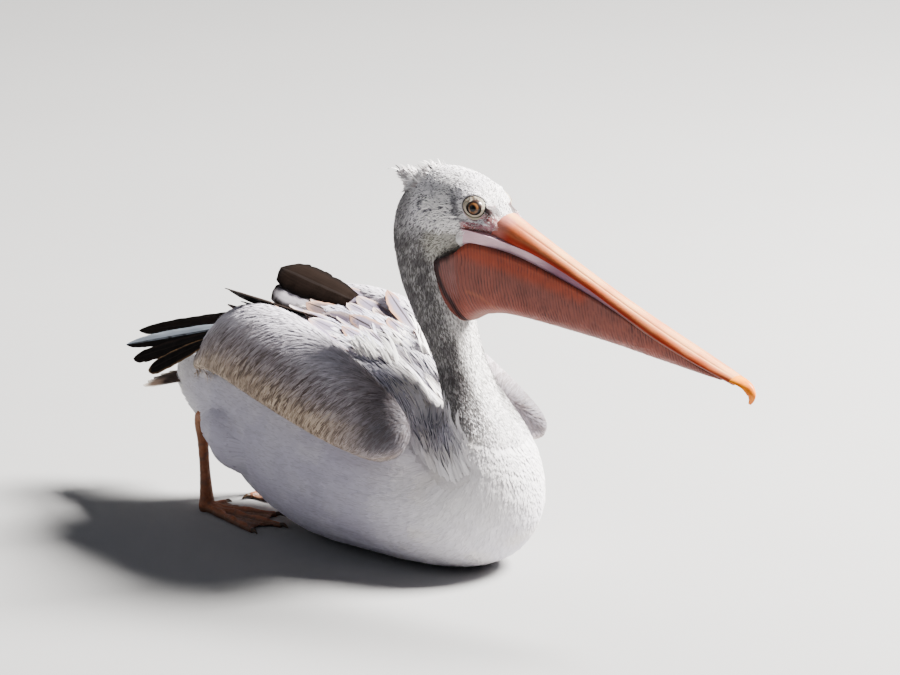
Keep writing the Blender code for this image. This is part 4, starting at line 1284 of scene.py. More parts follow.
def downSkinMaterial():  # the skin between the feathers, with the same markings as they have, darkened as painted shade under them
    made, tree, sockets = newMaterial("downSkin", 0.85, specular=0.2)
    tint, mark = readColour(tree, "tint"), readColour(tree, "mark")
    grain = useGroup(tree, skinGrain, {"Place": objectSpot(tree), "Size": 520.0, "Pores": 0.4})
    mottle = calc(tree, "MULTIPLY", grain["Mottle"], 0.9)
    share = calc(tree, "MULTIPLY", mark.outputs["Alpha"], mottle, clamp=True)
    colour = mixColours(tree, share, tint.outputs["Color"], mark.outputs["Color"])
    # Painted shade: the skin under the feathers is multiplied by about 0.8.
    connect(tree, mixColours(tree, 1.0, colour, (0.8, 0.79, 0.78), "MULTIPLY"), sockets["Base Color"])
    connect(tree, bumpFrom(tree, grain["Height"], 0.5, 0.0008), sockets["Normal"])
    return made


def nakedMaterial(name, roughness, size, pores, bump, depth, subsurface, specular=0.35):
    made, tree, sockets = newMaterial(name, roughness, specular=specular, subsurface=subsurface)
    grain = useGroup(tree, skinGrain, {"Place": objectSpot(tree), "Size": size, "Pores": pores})
    tint = readColour(tree, "tint").outputs["Color"]
    connect(tree, shaded(tree, tint, spanNode(tree, grain["Mottle"], 0.86, 1.08)), sockets["Base Color"])
    connect(tree, bumpFrom(tree, grain["Height"], bump, depth), sockets["Normal"])
    return made


def buildSkin():
    rng = np.random.default_rng(7)
    pouchPoints, pouchQuads, pouchCaps, height, hang = buildPouch()
    legPoints, legQuads, legTris = buildLegs()
    starts = np.cumsum([0, len(skinPoints), len(pouchPoints)])
    points = np.vstack([skinPoints, pouchPoints, legPoints])
    quads = np.vstack([skinQuads, pouchQuads + starts[1], legQuads + starts[2]])
    tris = np.vstack([skinTris, pouchCaps + starts[1], legTris + starts[2]])
    mesh = meshFrom("skin", points, quads, tris)
    tint, mark = plumageTint(skinPoints, skinFamily, rng)
    bare = skinBare[:, None]
    tint = tint * (1 - bare) + faceTint(skinPoints) * bare
    mark[:, 3] *= 1 - skinBare
    none = np.zeros((len(points) - len(skinPoints), 4))
    paint(mesh, "tint", np.vstack([tint, pouchTint(pouchPoints, height, hang), legTint(legPoints)]))
    paint(mesh, "mark", np.vstack([mark, none]))
    first = np.array([p.vertices[0] for p in mesh.polygons])
    index = np.where(first >= starts[2], 3, np.where(first >= starts[1], 2, 0))
    index[first < starts[1]] = (skinBare[first[first < starts[1]]] > 0.5).astype(int)
    mesh.polygons.foreach_set("material_index", index.astype(np.int32))
    skinObject = place("skin", mesh, downSkinMaterial(),
                       nakedMaterial("faceSkin", 0.55, 900.0, 0.8, 0.6, 0.0004, 0.12),
                       nakedMaterial("pouchSkin", 0.52, 700.0, 0.5, 0.35, 0.0003, 0.1, 0.25),
                       nakedMaterial("legSkin", 0.5, 420.0, 1.2, 0.8, 0.0006, 0.05))
    legs = [f"{part}_{side}" for part in ("tarsus", "foot") for side in sides]
    print("skin built:", len(points), "points")
    return finished(skinObject, "plumage", *fleshNodes, "pouch", *legs)


buildSkin()


# The coat's pieces.
def eyeGap(points):  # metres from the nearer eye's middle
    return np.minimum(*[np.linalg.norm(points - eyeFrame(side)[0], axis=1) for side in sides])


def headLength(points):  # shorter towards the bill and round the eyes
    front = ease(-points[:, 1], 0.12, 0.18)
    return 0.0058 - 0.0032 * front - 0.0012 * (1 - ease(eyeGap(points), 0.014, 0.024))


def neckward(points):  # 1 at the foot of the neck, 0 out on the body
    return ease(alongSpine(points)[0], neckBaseReach - 0.075, neckBaseReach + 0.004)


def smoothFlank(points):  # 1 on the flanks and belly, where the plumage is sleek
    return ease(points[:, 1], -0.15, -0.05)


def bodyLength(points):
    return 0.02 + 0.006 * smoothFlank(points) - 0.0105 * neckward(points)


def wristward(points):  # 1 at the bend of the wing, where its feathers are finest
    return ease(-points[:, 1], 0.02, 0.12)


def wingLength(points):
    edge = 1 - ease(wingHeight(points), 0.0, 0.15)
    back = 0.004 * ease(points[:, 1], -0.06, 0.12) - 0.007 * ease(points[:, 1], 0.18, 0.205)
    return 0.0165 + back - 0.0075 * wristward(points) - 0.005 * edge


# How a coat grows: rows and cols are the mesh of one feather, sink is how deep its root lies, sway,
# curl and roll are how much feathers differ, and soft is how far the skin's own shading shows.
fluff = {"sink": -0.0006, "soft": 0.5, "sway": 0.22, "curl": 0.12, "camber": 0.3, "roll": 0.25, "rows": 2,
         "cols": 3, "shape": "lock", "shadeSpread": 0.05}
tuft = {**fluff, "sink": -0.001, "soft": 0.3, "sway": 0.4, "curl": 0.2, "camber": 0.25, "roll": 0.35,
        "shape": "lance", "shadeSpread": 0.06}
faceTuft = {**tuft, "sink": -0.0003, "roll": 0.25, "shadeSpread": 0.05}
coats = {
    "head": {
        **fluff, "families": ("head",), "gap": lambda p: 0.00066 + 0.00016 * ease(p[:, 1], -0.13, -0.06),
        "length": headLength, "width": lambda p: 0.0009 + 0.0005 * ease(p[:, 1], -0.16, -0.1),
        "rise": lambda p: 0.001 + 0.0008 * ease(p[:, 1], -0.14, -0.09) * ease(np.abs(p[:, 0]), 0.012, 0.026),
        "clump": (0.45, 0.0026), "unruly": 0.2,
    },
    "neck": {
        **fluff, "families": ("neck_upper", "neck_lower"), "gap": steady(0.00092),
        "length": steady(0.0068), "width": steady(0.0015), "rise": steady(0.0015), "shadeSpread": 0.06,
        "climb": 0.8, "unruly": 0.14, "sway": 0.16,
    },
    "body": {
        "families": ("trunk", "thigh"), "gap": lambda p: 0.0023 - 0.0009 * neckward(p),
        "length": bodyLength, "width": lambda p: 0.0052 + 0.0008 * smoothFlank(p) - 0.0026 * neckward(p),
        "rise": lambda p: 0.0021 - 0.0004 * smoothFlank(p) - 0.0003 * neckward(p), "sink": -0.0006,
        "sway": 0.07, "curl": 0.05, "camber": 0.05, "roll": 0.02, "rows": 4, "cols": 3, "climb": 0.9,
        "shape": "round", "shadeSpread": 0.035, "soft": 0.5, "unruly": 0.06,
    },
    "wing": {
        "families": ("wing",), "gap": lambda p: 0.002 - 0.0005 * wristward(p),
        "length": wingLength, "width": lambda p: 0.0028 - 0.001 * wristward(p),
        "rise": lambda p: 0.0019 - 0.0005 * wristward(p), "climb": 0.85, "unruly": 0.12,
        "sink": -0.0006, "sway": 0.08, "curl": 0.06, "camber": 0.2, "roll": 0.06,
        "rows": 3, "cols": 3, "shape": "lance", "shadeSpread": 0.11, "soft": 0.35,
    },
    "mantle": {
        "families": ("mantle",), "gap": steady(0.0036),
        "length": lambda p: 0.026 + 0.01 * ease(p[:, 2], 0.13, 0.17),
        "width": lambda p: 0.0042 + 0.0026 * ease(p[:, 2], 0.16, 0.2),
        "rise": steady(0.0028), "sink": -0.0008, "sway": 0.08, "curl": 0.05, "camber": 0.08, "roll": 0.05,
        "rows": 7, "cols": 5, "shape": "lance", "shadeSpread": 0.06, "soft": 0.3, "climb": 0.9, "unruly": 0.1,
    },
}
featherLooks = {
    "head": featherMaterial("headDown", {
        **vaneLook, "roughness": 0.75, "sheen": 0.1, "lines": 2.5, "streakWidth": 0.5, "streakSoft": 0.6,
        "streakTo": 1.2}),
    "body": featherMaterial("breastFeather", {
        **vaneLook, "roughness": 0.7, "sheen": 0.08, "slant": 0.6, "streakWidth": 0.05, "streakSoft": 0.25,
        "streakFrom": 0.3, "streakTo": 1.1}),
    "wing": featherMaterial("covertFeather", {
        **vaneLook, "lines": 3.0, "streakWidth": 0.3, "streakFrom": 0.2, "contrast": 0.2, "bump": 0.35}),
    "mantle": featherMaterial("mantleFeather", {
        **vaneLook, "lines": 9.0, "streakWidth": 0.16, "streakFrom": 0.0, "contrast": 0.2, "bump": 0.4,
        "bumpDepth": 0.0004}),
}
featherLooks["neck"] = featherLooks["head"]
pouchTree = treeOf(*buildPouch()[:2])


def underPouch(spots, normals):  # where the pouch lies right over the skin
    hidden = np.zeros(len(spots), bool)
    near = np.flatnonzero((spots[:, 1] < -0.085) & (spots[:, 2] > 0.235) & (spots[:, 2] < 0.345))
    for i in near:
        hidden[i] = pouchTree.ray_cast(Vector(spots[i]), Vector(normals[i]), 0.007)[0] is not None
    return hidden


def openPlumage(spots, normals):  # where feathers may grow: off the bare face, the pouch and the eyes
    keep = bareFace(spots) < 0.45
    for side in sides:
        at = roundEye(spots, side)
        keep &= ~((at.share < 1.06 + 0.6 * at.below) & at.own)
    return keep & ~underPouch(spots, normals)


def growPiece(name, look, roots, normals, families, material, slot, rng):
    flow = lieOf(roots, normals, families)
    tints, marks = plumageTint(roots, families, rng)
    if "flow" in look:
        flow = look["flow"](roots, normals, flow)
    if "dye" in look:
        tints, marks = look["dye"](roots, tints, marks, rng)
    mesh = growCoat(name, roots, normals, flow, look, tints, marks, rng)
    return finished(place(name, mesh, material), slot)


def growOver(name, look, where, allowed, material, slot, rng):  # feathers over some of the skin's faces
    roots, normals, families = rootsOn(where, look["gap"], rng)
    keep = allowed(roots, normals)
    growPiece(name, look, roots[keep], normals[keep], families[keep], material, slot, rng)


def anywhere(roots, normals):
    return np.full(len(roots), True)


def growCoats(seed=11):
    for number, (label, look) in enumerate(coats.items()):
        rng = np.random.default_rng(seed + number)
        roots, normals, families = rootsOn(np.isin(faceFamily, look["families"]), look["gap"], rng)
        keep = openPlumage(roots, normals)
        roots, normals, families = roots[keep], normals[keep], families[keep]
        triangles = 2 * look["rows"] * look["cols"] - 2
        shares = max(1, math.ceil(len(roots) * triangles / 190000))
        order = np.argsort(alongSpine(roots)[0])
        slot = "covert" if label in ("wing", "mantle") else "plumage"
        for part, rows in enumerate(np.array_split(order, shares)):
            name = f"coat{label.capitalize()}" + (f"_{part + 1}" if shares > 1 else "")
            growPiece(name, look, roots[rows], normals[rows], families[rows], featherLooks[label], slot, rng)


growCoats()


# Crest and ragged tips.
def crestFlow(roots, normals, flow):  # clumps lean their own ways, up on the crown and down on the nape
    high = ease(roots[:, 2], 0.372, 0.388)
    lean = 0.34 * roughField(roots, 0.007, 92)
    lift = 0.62 * high - 0.3 * (1 - high) + 0.3 * roughField(roots, 0.006, 93)
    return unit(np.column_stack([lean, np.ones(len(roots)), lift]))


def crestDye(roots, tints, marks, rng):
    shade = roughField(roots, 0.004, 94)[:, None]
    tints = tone(236, 233, 234) * (0.94 + 0.1 * shade)
    tints = blendTo(tints, tone(170, 160, 160), 0.7 * (rng.random(len(roots)) < 0.16))
    marks[:, :3], marks[:, 3] = tone(96, 84, 82), 0.5 * (rng.random(len(roots)) < 0.4)
    return tints, marks


crest = {
    **tuft, "gap": steady(0.00125), "length": lambda p: 0.009 + 0.003 * roughField(p, 0.005, 91),
    "width": steady(0.0018), "rise": steady(0.002), "climb": 1.2, "sway": 0.2, "rows": 4, "soft": 0.35,
    "free": 0.45, "flow": crestFlow, "dye": crestDye,
}
crestTips = {**crest, "gap": steady(0.0048), "length": lambda p: 0.0145 + 0.0035 * roughField(p, 0.005, 95),
             "width": steady(0.0017), "free": 0.8, "rows": 6}


def growCrest():
    x, y, z = faceMiddles.T
    onCrown = (faceFamily == "head") & (y > -0.088) & (z > 0.376) & (np.abs(x) < 0.021)
    onCrest = onCrown | ((faceFamily == "crest") & (z > 0.368))
    for name, look, seed, low in (("crestTufts", crest, 41, 0.36), ("crestTips", crestTips, 43, 0.38)):
        growOver(name, look, onCrest & (z > low), anywhere, featherLooks["head"], "plumage",
                 np.random.default_rng(seed))


growCrest()


# White tufts on the cheek and small ones on the bare face.
def cheekDye(roots, tints, marks, rng):
    tints = np.tile(tone(244, 241, 240), (len(roots), 1)) * rng.uniform(0.92, 1.0, (len(roots), 1))
    marks[:, 3] = 0
    return tints, marks


cheek = {
    **tuft, "gap": steady(0.0017), "length": steady(0.0082), "width": steady(0.0016), "rise": steady(0.0032),
    "climb": 0.9, "sink": -0.0006, "curl": 0.25, "rows": 4, "free": 0.3, "dye": cheekDye,
    "clump": (0.5, 0.0035),
}
faceTufts = {
    **faceTuft, "gap": steady(0.00105), "length": steady(0.0024), "width": steady(0.0005),
    "rise": steady(0.0006), "dye": cheekDye, "share": 0.4,
}


def growCheeks():
    rng = np.random.default_rng(47)
    flat = faceMiddles[:, 1:]
    spot = np.minimum(lineDistance(flat, (-0.141, 0.352), (-0.103, 0.354)),
                      lineDistance(flat, (-0.128, 0.364), (-0.104, 0.369)) + 0.002)
    onHead = faceFamily == "head"
    onCheek = onHead & (spot < 0.0085) & (np.abs(faceMiddles[:, 0]) > 0.02)
    growOver("cheekTufts", cheek, onCheek, openPlumage, featherLooks["head"], "plumage", rng)

    def offDark(roots, normals):  # clear of the lores' dark line, the gape and the eyes' rings
        clear = np.minimum(lineDistance(roots[:, 1:], (-0.1672, 0.3712), (-0.185, 0.364)) - 0.003,
                           lineDistance(roots[:, 1:], (-0.15, 0.3455), (-0.2, 0.34)) - 0.0012)
        keep = (clear > 0) & (rng.random(len(roots)) < faceTufts["share"])
        for side in sides:
            at = roundEye(roots, side)
            keep &= (at.share > 1.1 + 0.62 * at.below) | (roots[:, 0] * sides[side] < 0)
        return keep

    onFace = onHead & (bareFace(faceMiddles) > 0.5)
    growOver("faceTufts", faceTufts, onFace, offDark, featherLooks["head"], "plumage", rng)


growCheeks()


# Feathers that stand clear of the rest.
raised = {  # white tips on the near shoulders
    **tuft, "gap": steady(0.0023), "length": lambda p: 0.024 + 0.009 * roughField(p, 0.006, 97),
    "width": steady(0.0034), "rise": steady(0.003), "climb": 1.0, "sway": 0.22, "curl": 0.1, "rows": 6,
    "shadeSpread": 0.07, "free": 0.92, "dye": cheekDye,
    "flow": lambda roots, normals, flow: unit(flow * 0.85 + np.array([0.0, 0.05, 0.62])),
    "spots": ((0.041, -0.025, 0.203), (0.036, -0.034, 0.201), (0.024, -0.049, 0.1965)),
    "reach": 0.007,
}
skirt = {  # flank feathers over the top of the leg
    **tuft, "gap": steady(0.003), "length": steady(0.02), "width": steady(0.005), "rise": steady(0.0016),
    "sink": -0.0008, "sway": 0.07, "curl": 0.03, "camber": 0.06, "roll": 0.03, "rows": 4,
    "shadeSpread": 0.03, "soft": 0.6, "free": 0.35,
    "flow": lambda roots, normals, flow: unit(flow * 0.8 + np.array([0, 0.5, -0.3])),
}


def growClear():
    rng = np.random.default_rng(61)
    x, y, z = faceMiddles.T
    oneSide = np.column_stack([np.abs(x), y, z])
    near = np.min([np.linalg.norm(oneSide - spot, axis=1) for spot in raised["spots"]], axis=0)
    growOver("raisedTips", raised, near < raised["reach"], anywhere, featherLooks["body"], "covert", rng)
    overLeg = (y > 0.168) & (z > 0.08) & (z < 0.122) & (np.abs(x) > 0.026) & (np.abs(x) < 0.075)
    growOver("legSkirt", skirt, overLeg, anywhere, featherLooks["body"], "plumage", rng)


growClear()


# Bill.
bill = {
    "root": np.array([0.0, -0.194, 0.3625]),
    "length": 0.33,
    "pitch": math.radians(19.7),
    "sag": 0.0045,
    # Share of the length, half width, depth under the ridge.
    "upper": np.array([
        (-0.03, 0.0195, 0.0203), (0.04, 0.0172, 0.0172), (0.12, 0.0148, 0.0124), (0.22, 0.0132, 0.009),
        (0.36, 0.0122, 0.007), (0.5, 0.0126, 0.007), (0.64, 0.0137, 0.0072), (0.76, 0.0137, 0.0062),
        (0.86, 0.0122, 0.0052), (0.94, 0.0098, 0.0048)]),
    # Share, half width, top edge under the ridge, depth.
    "lower": np.array([
        (-0.132, 0.032, 0.0298, 0.019), (-0.09, 0.0312, 0.0248, 0.0222), (-0.04, 0.0276, 0.0208, 0.0222),
        (0.04, 0.0192, 0.0172, 0.0205), (0.12, 0.0156, 0.0124, 0.0182), (0.22, 0.0134, 0.009, 0.0148),
        (0.36, 0.0118, 0.007, 0.0096), (0.5, 0.0118, 0.007, 0.0058), (0.64, 0.0128, 0.0072, 0.0044),
        (0.76, 0.0128, 0.0062, 0.0036), (0.86, 0.0112, 0.0052, 0.003), (0.95, 0.008, 0.0048, 0.0026)]),
    # Metres along, metres over the ridge, half width, thickness.
    "nail": np.array([
        (0.3102, 0.0, 0.0098, 0.0048), (0.318, 0.0006, 0.00862, 0.0048), (0.326, 0.0002, 0.00706, 0.0053),
        (0.3325, -0.0022, 0.00568, 0.0062), (0.3372, -0.007, 0.00451, 0.0056),
        (0.3376, -0.013, 0.00314, 0.0046), (0.3352, -0.0185, 0.00157, 0.0022)]),
    "gap": 0.0004,
    "ridge": 0.42,            # half width of the raised ridge, as a share of the bill's
    "groove": 0.0007,         # depth of the groove beside it
    "lip": 0.0007,            # how far the cutting edge stands out
}
billAlong = np.array([0.0, -math.cos(bill["pitch"]), -math.sin(bill["pitch"])])
billUp = np.array([0.0, -math.sin(bill["pitch"]), math.cos(bill["pitch"])])


def billSpots(share, side, up):  # points of the bill from shares of its length, metres across and up
    share, side, up = np.broadcast_arrays(share, side, up)
    sag = bill["sag"] * np.sin(math.pi * np.clip(share, 0, 1))
    return (bill["root"] + billAlong * (share * bill["length"])[..., None] + billUp * (up - sag)[..., None]
            + np.array([1.0, 0, 0]) * side[..., None])


def upperRings(count=190, arch=57):
    rows = smoothRows(bill["upper"], count)
    share, half, depth = rows.T[:, :, None]
    turn = np.linspace(0, math.pi, arch)
    across = np.cos(turn)
    up = depth * (np.sin(turn) ** 0.92 - 1)
    # A groove on each side parts the ridge from the flatter edges.
    fade = ease(share, -0.02, 0.1) * (1 - ease(share, 0.86, 0.93))
    groove = np.exp(-((np.abs(across) - bill["ridge"]) / 0.055) ** 2)
    swell = np.exp(-(across / (bill["ridge"] * 0.8)) ** 4)
    up = up - bill["groove"] * groove * fade + 0.00025 * (swell - 1) * fade
    lip = np.exp(-((np.abs(across) - 1) / 0.035) ** 2)
    side = half * across + np.sign(across) * bill["lip"] * lip * fade * 0.6
    wobble = roughField(billSpots(share, side, up).reshape(-1, 3), 0.007, 61).reshape(side.shape)
    up = up + 0.00014 * wobble
    top = billSpots(share, side, up)
    inside = billSpots(share, half * np.array([-0.86, -0.5, 0, 0.5, 0.86]),
                       -depth + 0.0006 * np.array([0, 1, 1, 1, 0]))
    return np.concatenate([top, inside], axis=1), share, across


def lowerRings(count=190, arch=49):
    rows = smoothRows(bill["lower"], count)
    share, half, top, depth = rows.T[:, :, None]
    turn = np.linspace(0, math.pi, arch)
    across = np.cos(turn)
    # Each branch is full at its upper edge and thinner at its foot.
    drop = top + bill["gap"] + depth * np.sin(turn) ** 0.3
    hollow = np.exp(-((np.sin(turn) - 0.35) / 0.18) ** 2) * 0.0006
    tuck = 0.0045 * (1 - ease(share, -0.135, -0.105)) + 0.0012 * (1 - ease(share, -0.11, -0.04))
    side = (half - hollow - tuck) * across
    under = billSpots(share, side, -drop)
    inside = billSpots(share, half * np.array([-0.9, -0.5, 0, 0.5, 0.9]), -top - bill["gap"])
    return np.concatenate([under, inside], axis=1), share, across


def nailRings(count=46, arch=33):
    rows = smoothRows(bill["nail"], count)
    along, up, wide, thick = rows.T
    heading = unit(np.gradient(rows[:, :2], axis=0))
    blend = ease(along, 0.3102, 0.319)[:, None]
    heading = unit(np.array([1.0, 0.0]) * (1 - blend) + heading * blend)
    down = np.column_stack([heading[:, 1], -heading[:, 0]])
    turn = np.linspace(0, math.pi, arch)
    fall = thick[:, None] * (1 - np.sin(turn))
    keel = 0.0003 * np.exp(-(np.cos(turn) / 0.25) ** 2) * ease(along, 0.311, 0.325)[:, None]
    fall = fall - keel
    ring = billSpots((along[:, None] + down[:, :1] * fall) / bill["length"], wide[:, None] * np.cos(turn),
                     up[:, None] + down[:, 1:] * fall)
    flat = np.array([-0.8, -0.4, 0, 0.4, 0.8])
    inside = billSpots((along[:, None] + down[:, :1] * thick[:, None]) / bill["length"], wide[:, None] * flat,
                       up[:, None] + down[:, 1:] * thick[:, None])
    return np.concatenate([ring, inside], axis=1)


billTones = {
    "cream": tone(216, 156, 104),
    "pink": tone(182, 86, 54),
    "orange": tone(148, 28, 3),
    "peach": tone(174, 84, 48),
    "side": tone(142, 60, 24),
    "skin": tone(178, 112, 100),
    "groove": tone(118, 36, 24),
    "lilac": tone(222, 184, 194),
    "purple": tone(136, 96, 114),
    "grey": tone(134, 92, 84),
    "rim": tone(158, 98, 72),
    "gape": tone(120, 50, 20),
    "nail": tone(232, 132, 0),
    "nailDeep": tone(196, 88, 0),
    "nailPale": tone(244, 176, 50),
}


def upperTint(points, share, across):
    streaks = roughField(points * np.array([1, 0.12, 0.12]), 0.0016, 62)
    cloud = roughField(points, 0.016, 63)
    edge = np.abs(across)
    side = ease(edge, 0.45, 0.8) * (0.45 + 0.4 * ease(share, 0.08, 0.3) + 0.12 * cloud)
    groove = np.exp(-((edge - bill["ridge"]) / 0.05) ** 2)
    band = ease(edge, 0.9 + 0.03 * ease(share, 0.3, 0.9), 0.98) * (1 - 0.45 * ease(share, 0.55, 0.92))
    root = 1 - ease(share + 0.012 * cloud, -0.005, 0.04)
    tint = layered(
        billTones["cream"], billTones,
        ("pink", np.clip(0.3 + 0.3 * cloud + 0.25 * streaks, 0, 0.8)),
        ("side", side),
        ("peach", (1 - ease(share, 0.02, 0.24)) * ease(edge, 0.2, 0.7) * 0.8),
        ("groove", groove * (0.65 - 0.3 * ease(share, 0.5, 0.9))),
        ("orange", band * (0.85 + 0.1 * cloud)),
        ("skin", root * ease(edge, 0.1, 0.4) * 0.85))
    return tint * (1 + 0.05 * streaks)[:, None]


def lowerTint(points, share, across):
    streaks = roughField(points * np.array([1, 0.12, 0.12]), 0.0016, 64)
    cloud = roughField(points, 0.012, 65)
    foot = ease(np.sqrt(np.maximum(1 - across ** 2, 0)), 0.25, 0.75)
    tint = layered(
        billTones["lilac"], billTones,
        ("purple", ease(share, 0.1, 0.24)),
        ("grey", ease(share, 0.32, 0.6)),
        ("rim", foot * ease(share, 0.05, 0.2) * 0.7),
        ("gape", foot * (1 - ease(share, -0.09, -0.01)) * 0.8))
    return tint * (1 + 0.08 * streaks + 0.06 * cloud)[:, None]


def hornMaterial(name, roughness, coat, bump):
    made, tree, sockets = newMaterial(name, roughness, specular=0.15, coat=coat, coatRoughness=0.3,
                                      subsurface=0.08)
    spot = objectSpot(tree)
    grain = useGroup(tree, skinGrain, {"Place": spot, "Size": 500.0, "Pores": 0.25})
    # Growth lines run along the bill.
    drawn = addNode(tree, "ShaderNodeMapping", {"Vector": spot, "Scale": (900.0, 60.0, 900.0),
                                                "Rotation": (-bill["pitch"], 0, 0)}).outputs[0]
    lines = noiseNode(tree, drawn, 1.0, 3.0)
    tint = readColour(tree, "tint").outputs["Color"]
    connect(tree, shaded(tree, tint, spanNode(tree, lines, 0.9, 1.05)), sockets["Base Color"])
    height = calc(tree, "MULTIPLY_ADD", lines, 0.7, calc(tree, "MULTIPLY", grain["Height"], 0.5))
    connect(tree, bumpFrom(tree, height, bump, 0.0003), sockets["Normal"])
    rough = spanNode(tree, grain["Mottle"], roughness - 0.06, roughness + 0.1)
    connect(tree, rough, sockets["Roughness"])
    return made


def placeHorn(name, rings, tint, horn, slot, node):  # one closed piece of horn, shaded sharp at its edges
    mesh = loftMesh(name, rings)
    paint(mesh, "tint", tint)
    mesh.set_sharp_from_angle(angle=math.radians(62))
    finished(place(name, mesh, horn), slot, node)


def buildBill():
    horn = hornMaterial("billHorn", 0.55, 0.03, 0.4)
    for name, node, maker, tinter in (("billUpper", "bill_upper", upperRings, upperTint),
                                      ("billLower", "bill_lower", lowerRings, lowerTint)):
        rings, share, across = maker()
        count, around = rings.shape[:2]
        # The last two points close the ends.
        shares = np.append(np.repeat(share[:, 0], around), (share[0, 0], share[-1, 0]))
        sideways = np.append(np.tile(np.concatenate([across, [-0.8, -0.4, 0, 0.4, 0.8]]), count), (0, 0))
        placeHorn(name, rings, tinter(loftArrays(rings)[0], shares, sideways), horn, "bill_horn", node)
    rings = nailRings()
    places = loftArrays(rings)[0]
    tint = layered(billTones["nail"], billTones,
                   ("nailDeep", np.clip(0.35 + 0.5 * roughField(places, 0.005, 66), 0, 1)),
                   ("nailPale", ease(places[:, 2], 0.25, 0.262) * 0.35))
    placeHorn("billNail", rings, tint, hornMaterial("nailHorn", 0.4, 0.15, 0.25), "nail_horn", "bill_nail")
    print("bill built")


buildBill()


# Small tufts over the rear of the lower bill.
ramusTufts = {
    **faceTuft, "length": steady(0.0038), "width": steady(0.0008), "rise": steady(0.0013), "free": 1.0,
    "dye": cheekDye, "count": 760, "reach": 14, "around": 7.5,
    "flow": lambda roots, normals, flow: inPlane(np.tile([0, 1.0, -0.3], (len(roots), 1)), normals),
}


def growRamusTufts():
    rng = np.random.default_rng(67)
    rings = lowerRings()[0]
    count = ramusTufts["count"]
    ring = rng.random(count) ** 1.5 * ramusTufts["reach"]
    spoke = rng.random(count) * ramusTufts["around"]
    i, j = ring.astype(int), spoke.astype(int)
    along = blendTo(rings[i, j], rings[i + 1, j], ring - i)
    roots = blendTo(along, rings[i, j + 1], spoke - j)
    flip = np.where(rng.random(count) < 0.5, -1.0, 1.0)
    roots[:, 0] *= flip
    normals = np.tile(unit(np.array([1.0, 0.12, -0.15])), (count, 1))
    normals[:, 0] *= np.sign(roots[:, 0])
    growPiece("ramusTufts", ramusTufts, roots, normals, np.full(count, "head"), featherLooks["head"],
              "plumage", rng)


growRamusTufts()


# Eyes.
eyeTones = {"pupil": tone(2, 2, 2), "iris": tone(124, 82, 46), "irisDeep": tone(64, 38, 22),
            "limbus": tone(20, 12, 10), "white": tone(50, 38, 34)}
eyeball = {"pupil": 0.0031, "iris": 0.0055, "limbus": 0.0066, "cornea": 0.0007, "rings": 60, "around": 72}


def buildEye(side):
    middle, gaze, ahead, up = eyeFrame(side)
    rise = np.linspace(0, math.pi, eyeball["rings"])[1:-1]
    turn = 2 * math.pi * np.arange(eyeball["around"]) / eyeball["around"]
    radius = eyes["radius"] * 0.985 + eyeball["cornea"] * np.exp(-(rise / 0.55) ** 2)
    ring = np.cos(turn)[None, :, None] * ahead + np.sin(turn)[None, :, None] * up
    rings = (middle + ring * (radius * np.sin(rise))[:, None, None]
             + gaze * (radius * np.cos(rise))[:, None, None])
    mesh = loftMesh("eyeball_" + side, rings)
    r = np.append(np.repeat(radius * np.sin(rise), eyeball["around"]), (0, 0))
    front = np.append(np.repeat(np.cos(rise), eyeball["around"]), (1, -1)) > 0
    bearing = np.append(np.tile(turn, len(rise)), (0, 0))
    spokes = roughField(np.column_stack([np.cos(bearing) * 8, np.sin(bearing) * 8, r * 500]), 1.0, 71)
    pupil, iris, limbus = eyeball["pupil"], eyeball["iris"], eyeball["limbus"]
    paint(mesh, "tint", layered(
        eyeTones["iris"], eyeTones,
        ("irisDeep", np.clip(0.3 + 0.45 * spokes, 0, 1)),
        ("irisDeep", 1 - ease(r, pupil, pupil + 0.0009)),
        ("limbus", ease(r, iris - 0.0006, iris + 0.0003)),
        ("white", ease(r, limbus, limbus + 0.0008)),
        ("pupil", 1 - ease(r, pupil - 0.00015, pupil + 0.00015)),
        ("white", 1.0 - front)))
    return mesh


def eyeMaterial():
    made, tree, sockets = newMaterial("wetEye", 0.35, specular=0.1, coat=0.5, coatRoughness=0.02)
    fleck = noiseNode(tree, objectSpot(tree), 1400.0, 2.0)
    tint = readColour(tree, "tint").outputs["Color"]
    connect(tree, shaded(tree, tint, spanNode(tree, fleck, 0.85, 1.1)), sockets["Base Color"])
    return made


wetEye = eyeMaterial()
for side in sides:
    finished(place("eyeball_" + side, buildEye(side), wetEye), "eye", "eye_" + side)
print("eyes built")


# Flight feathers, tail and long shoulder feathers.
flight = {
    "thick": 0.0008,
    "shaft": 0.0009,          # half width of the shaft
    "shaftRise": 0.0007,
    "dish": 0.1,             # how far the edges curl down, as a share of the half width
}
flightTones = {
    "dark": tone(13, 9, 8),
    "brown": tone(23, 15, 11),
    "buff": tone(112, 88, 64),
    "lilacGrey": tone(196, 190, 198),
    "paleEdge": tone(224, 214, 204),
    "bluish": tone(196, 206, 218),
    "shaftDark": tone(34, 28, 26),
    "greyBrown": tone(84, 70, 62),
}
bladeShapes = {
    "round": ((0.0, 0.5), (0.25, 0.82), (0.6, 1.0), (0.82, 0.95), (0.93, 0.72), (0.985, 0.34), (1.0, 0.05)),
    "pointed": ((0.0, 0.55), (0.3, 0.92), (0.55, 1.0), (0.75, 0.88), (0.88, 0.62), (0.96, 0.32), (1.0, 0.04)),
    "long": ((0.0, 0.62), (0.3, 0.95), (0.6, 1.0), (0.8, 0.86), (0.92, 0.58), (0.98, 0.26), (1.0, 0.04)),
}


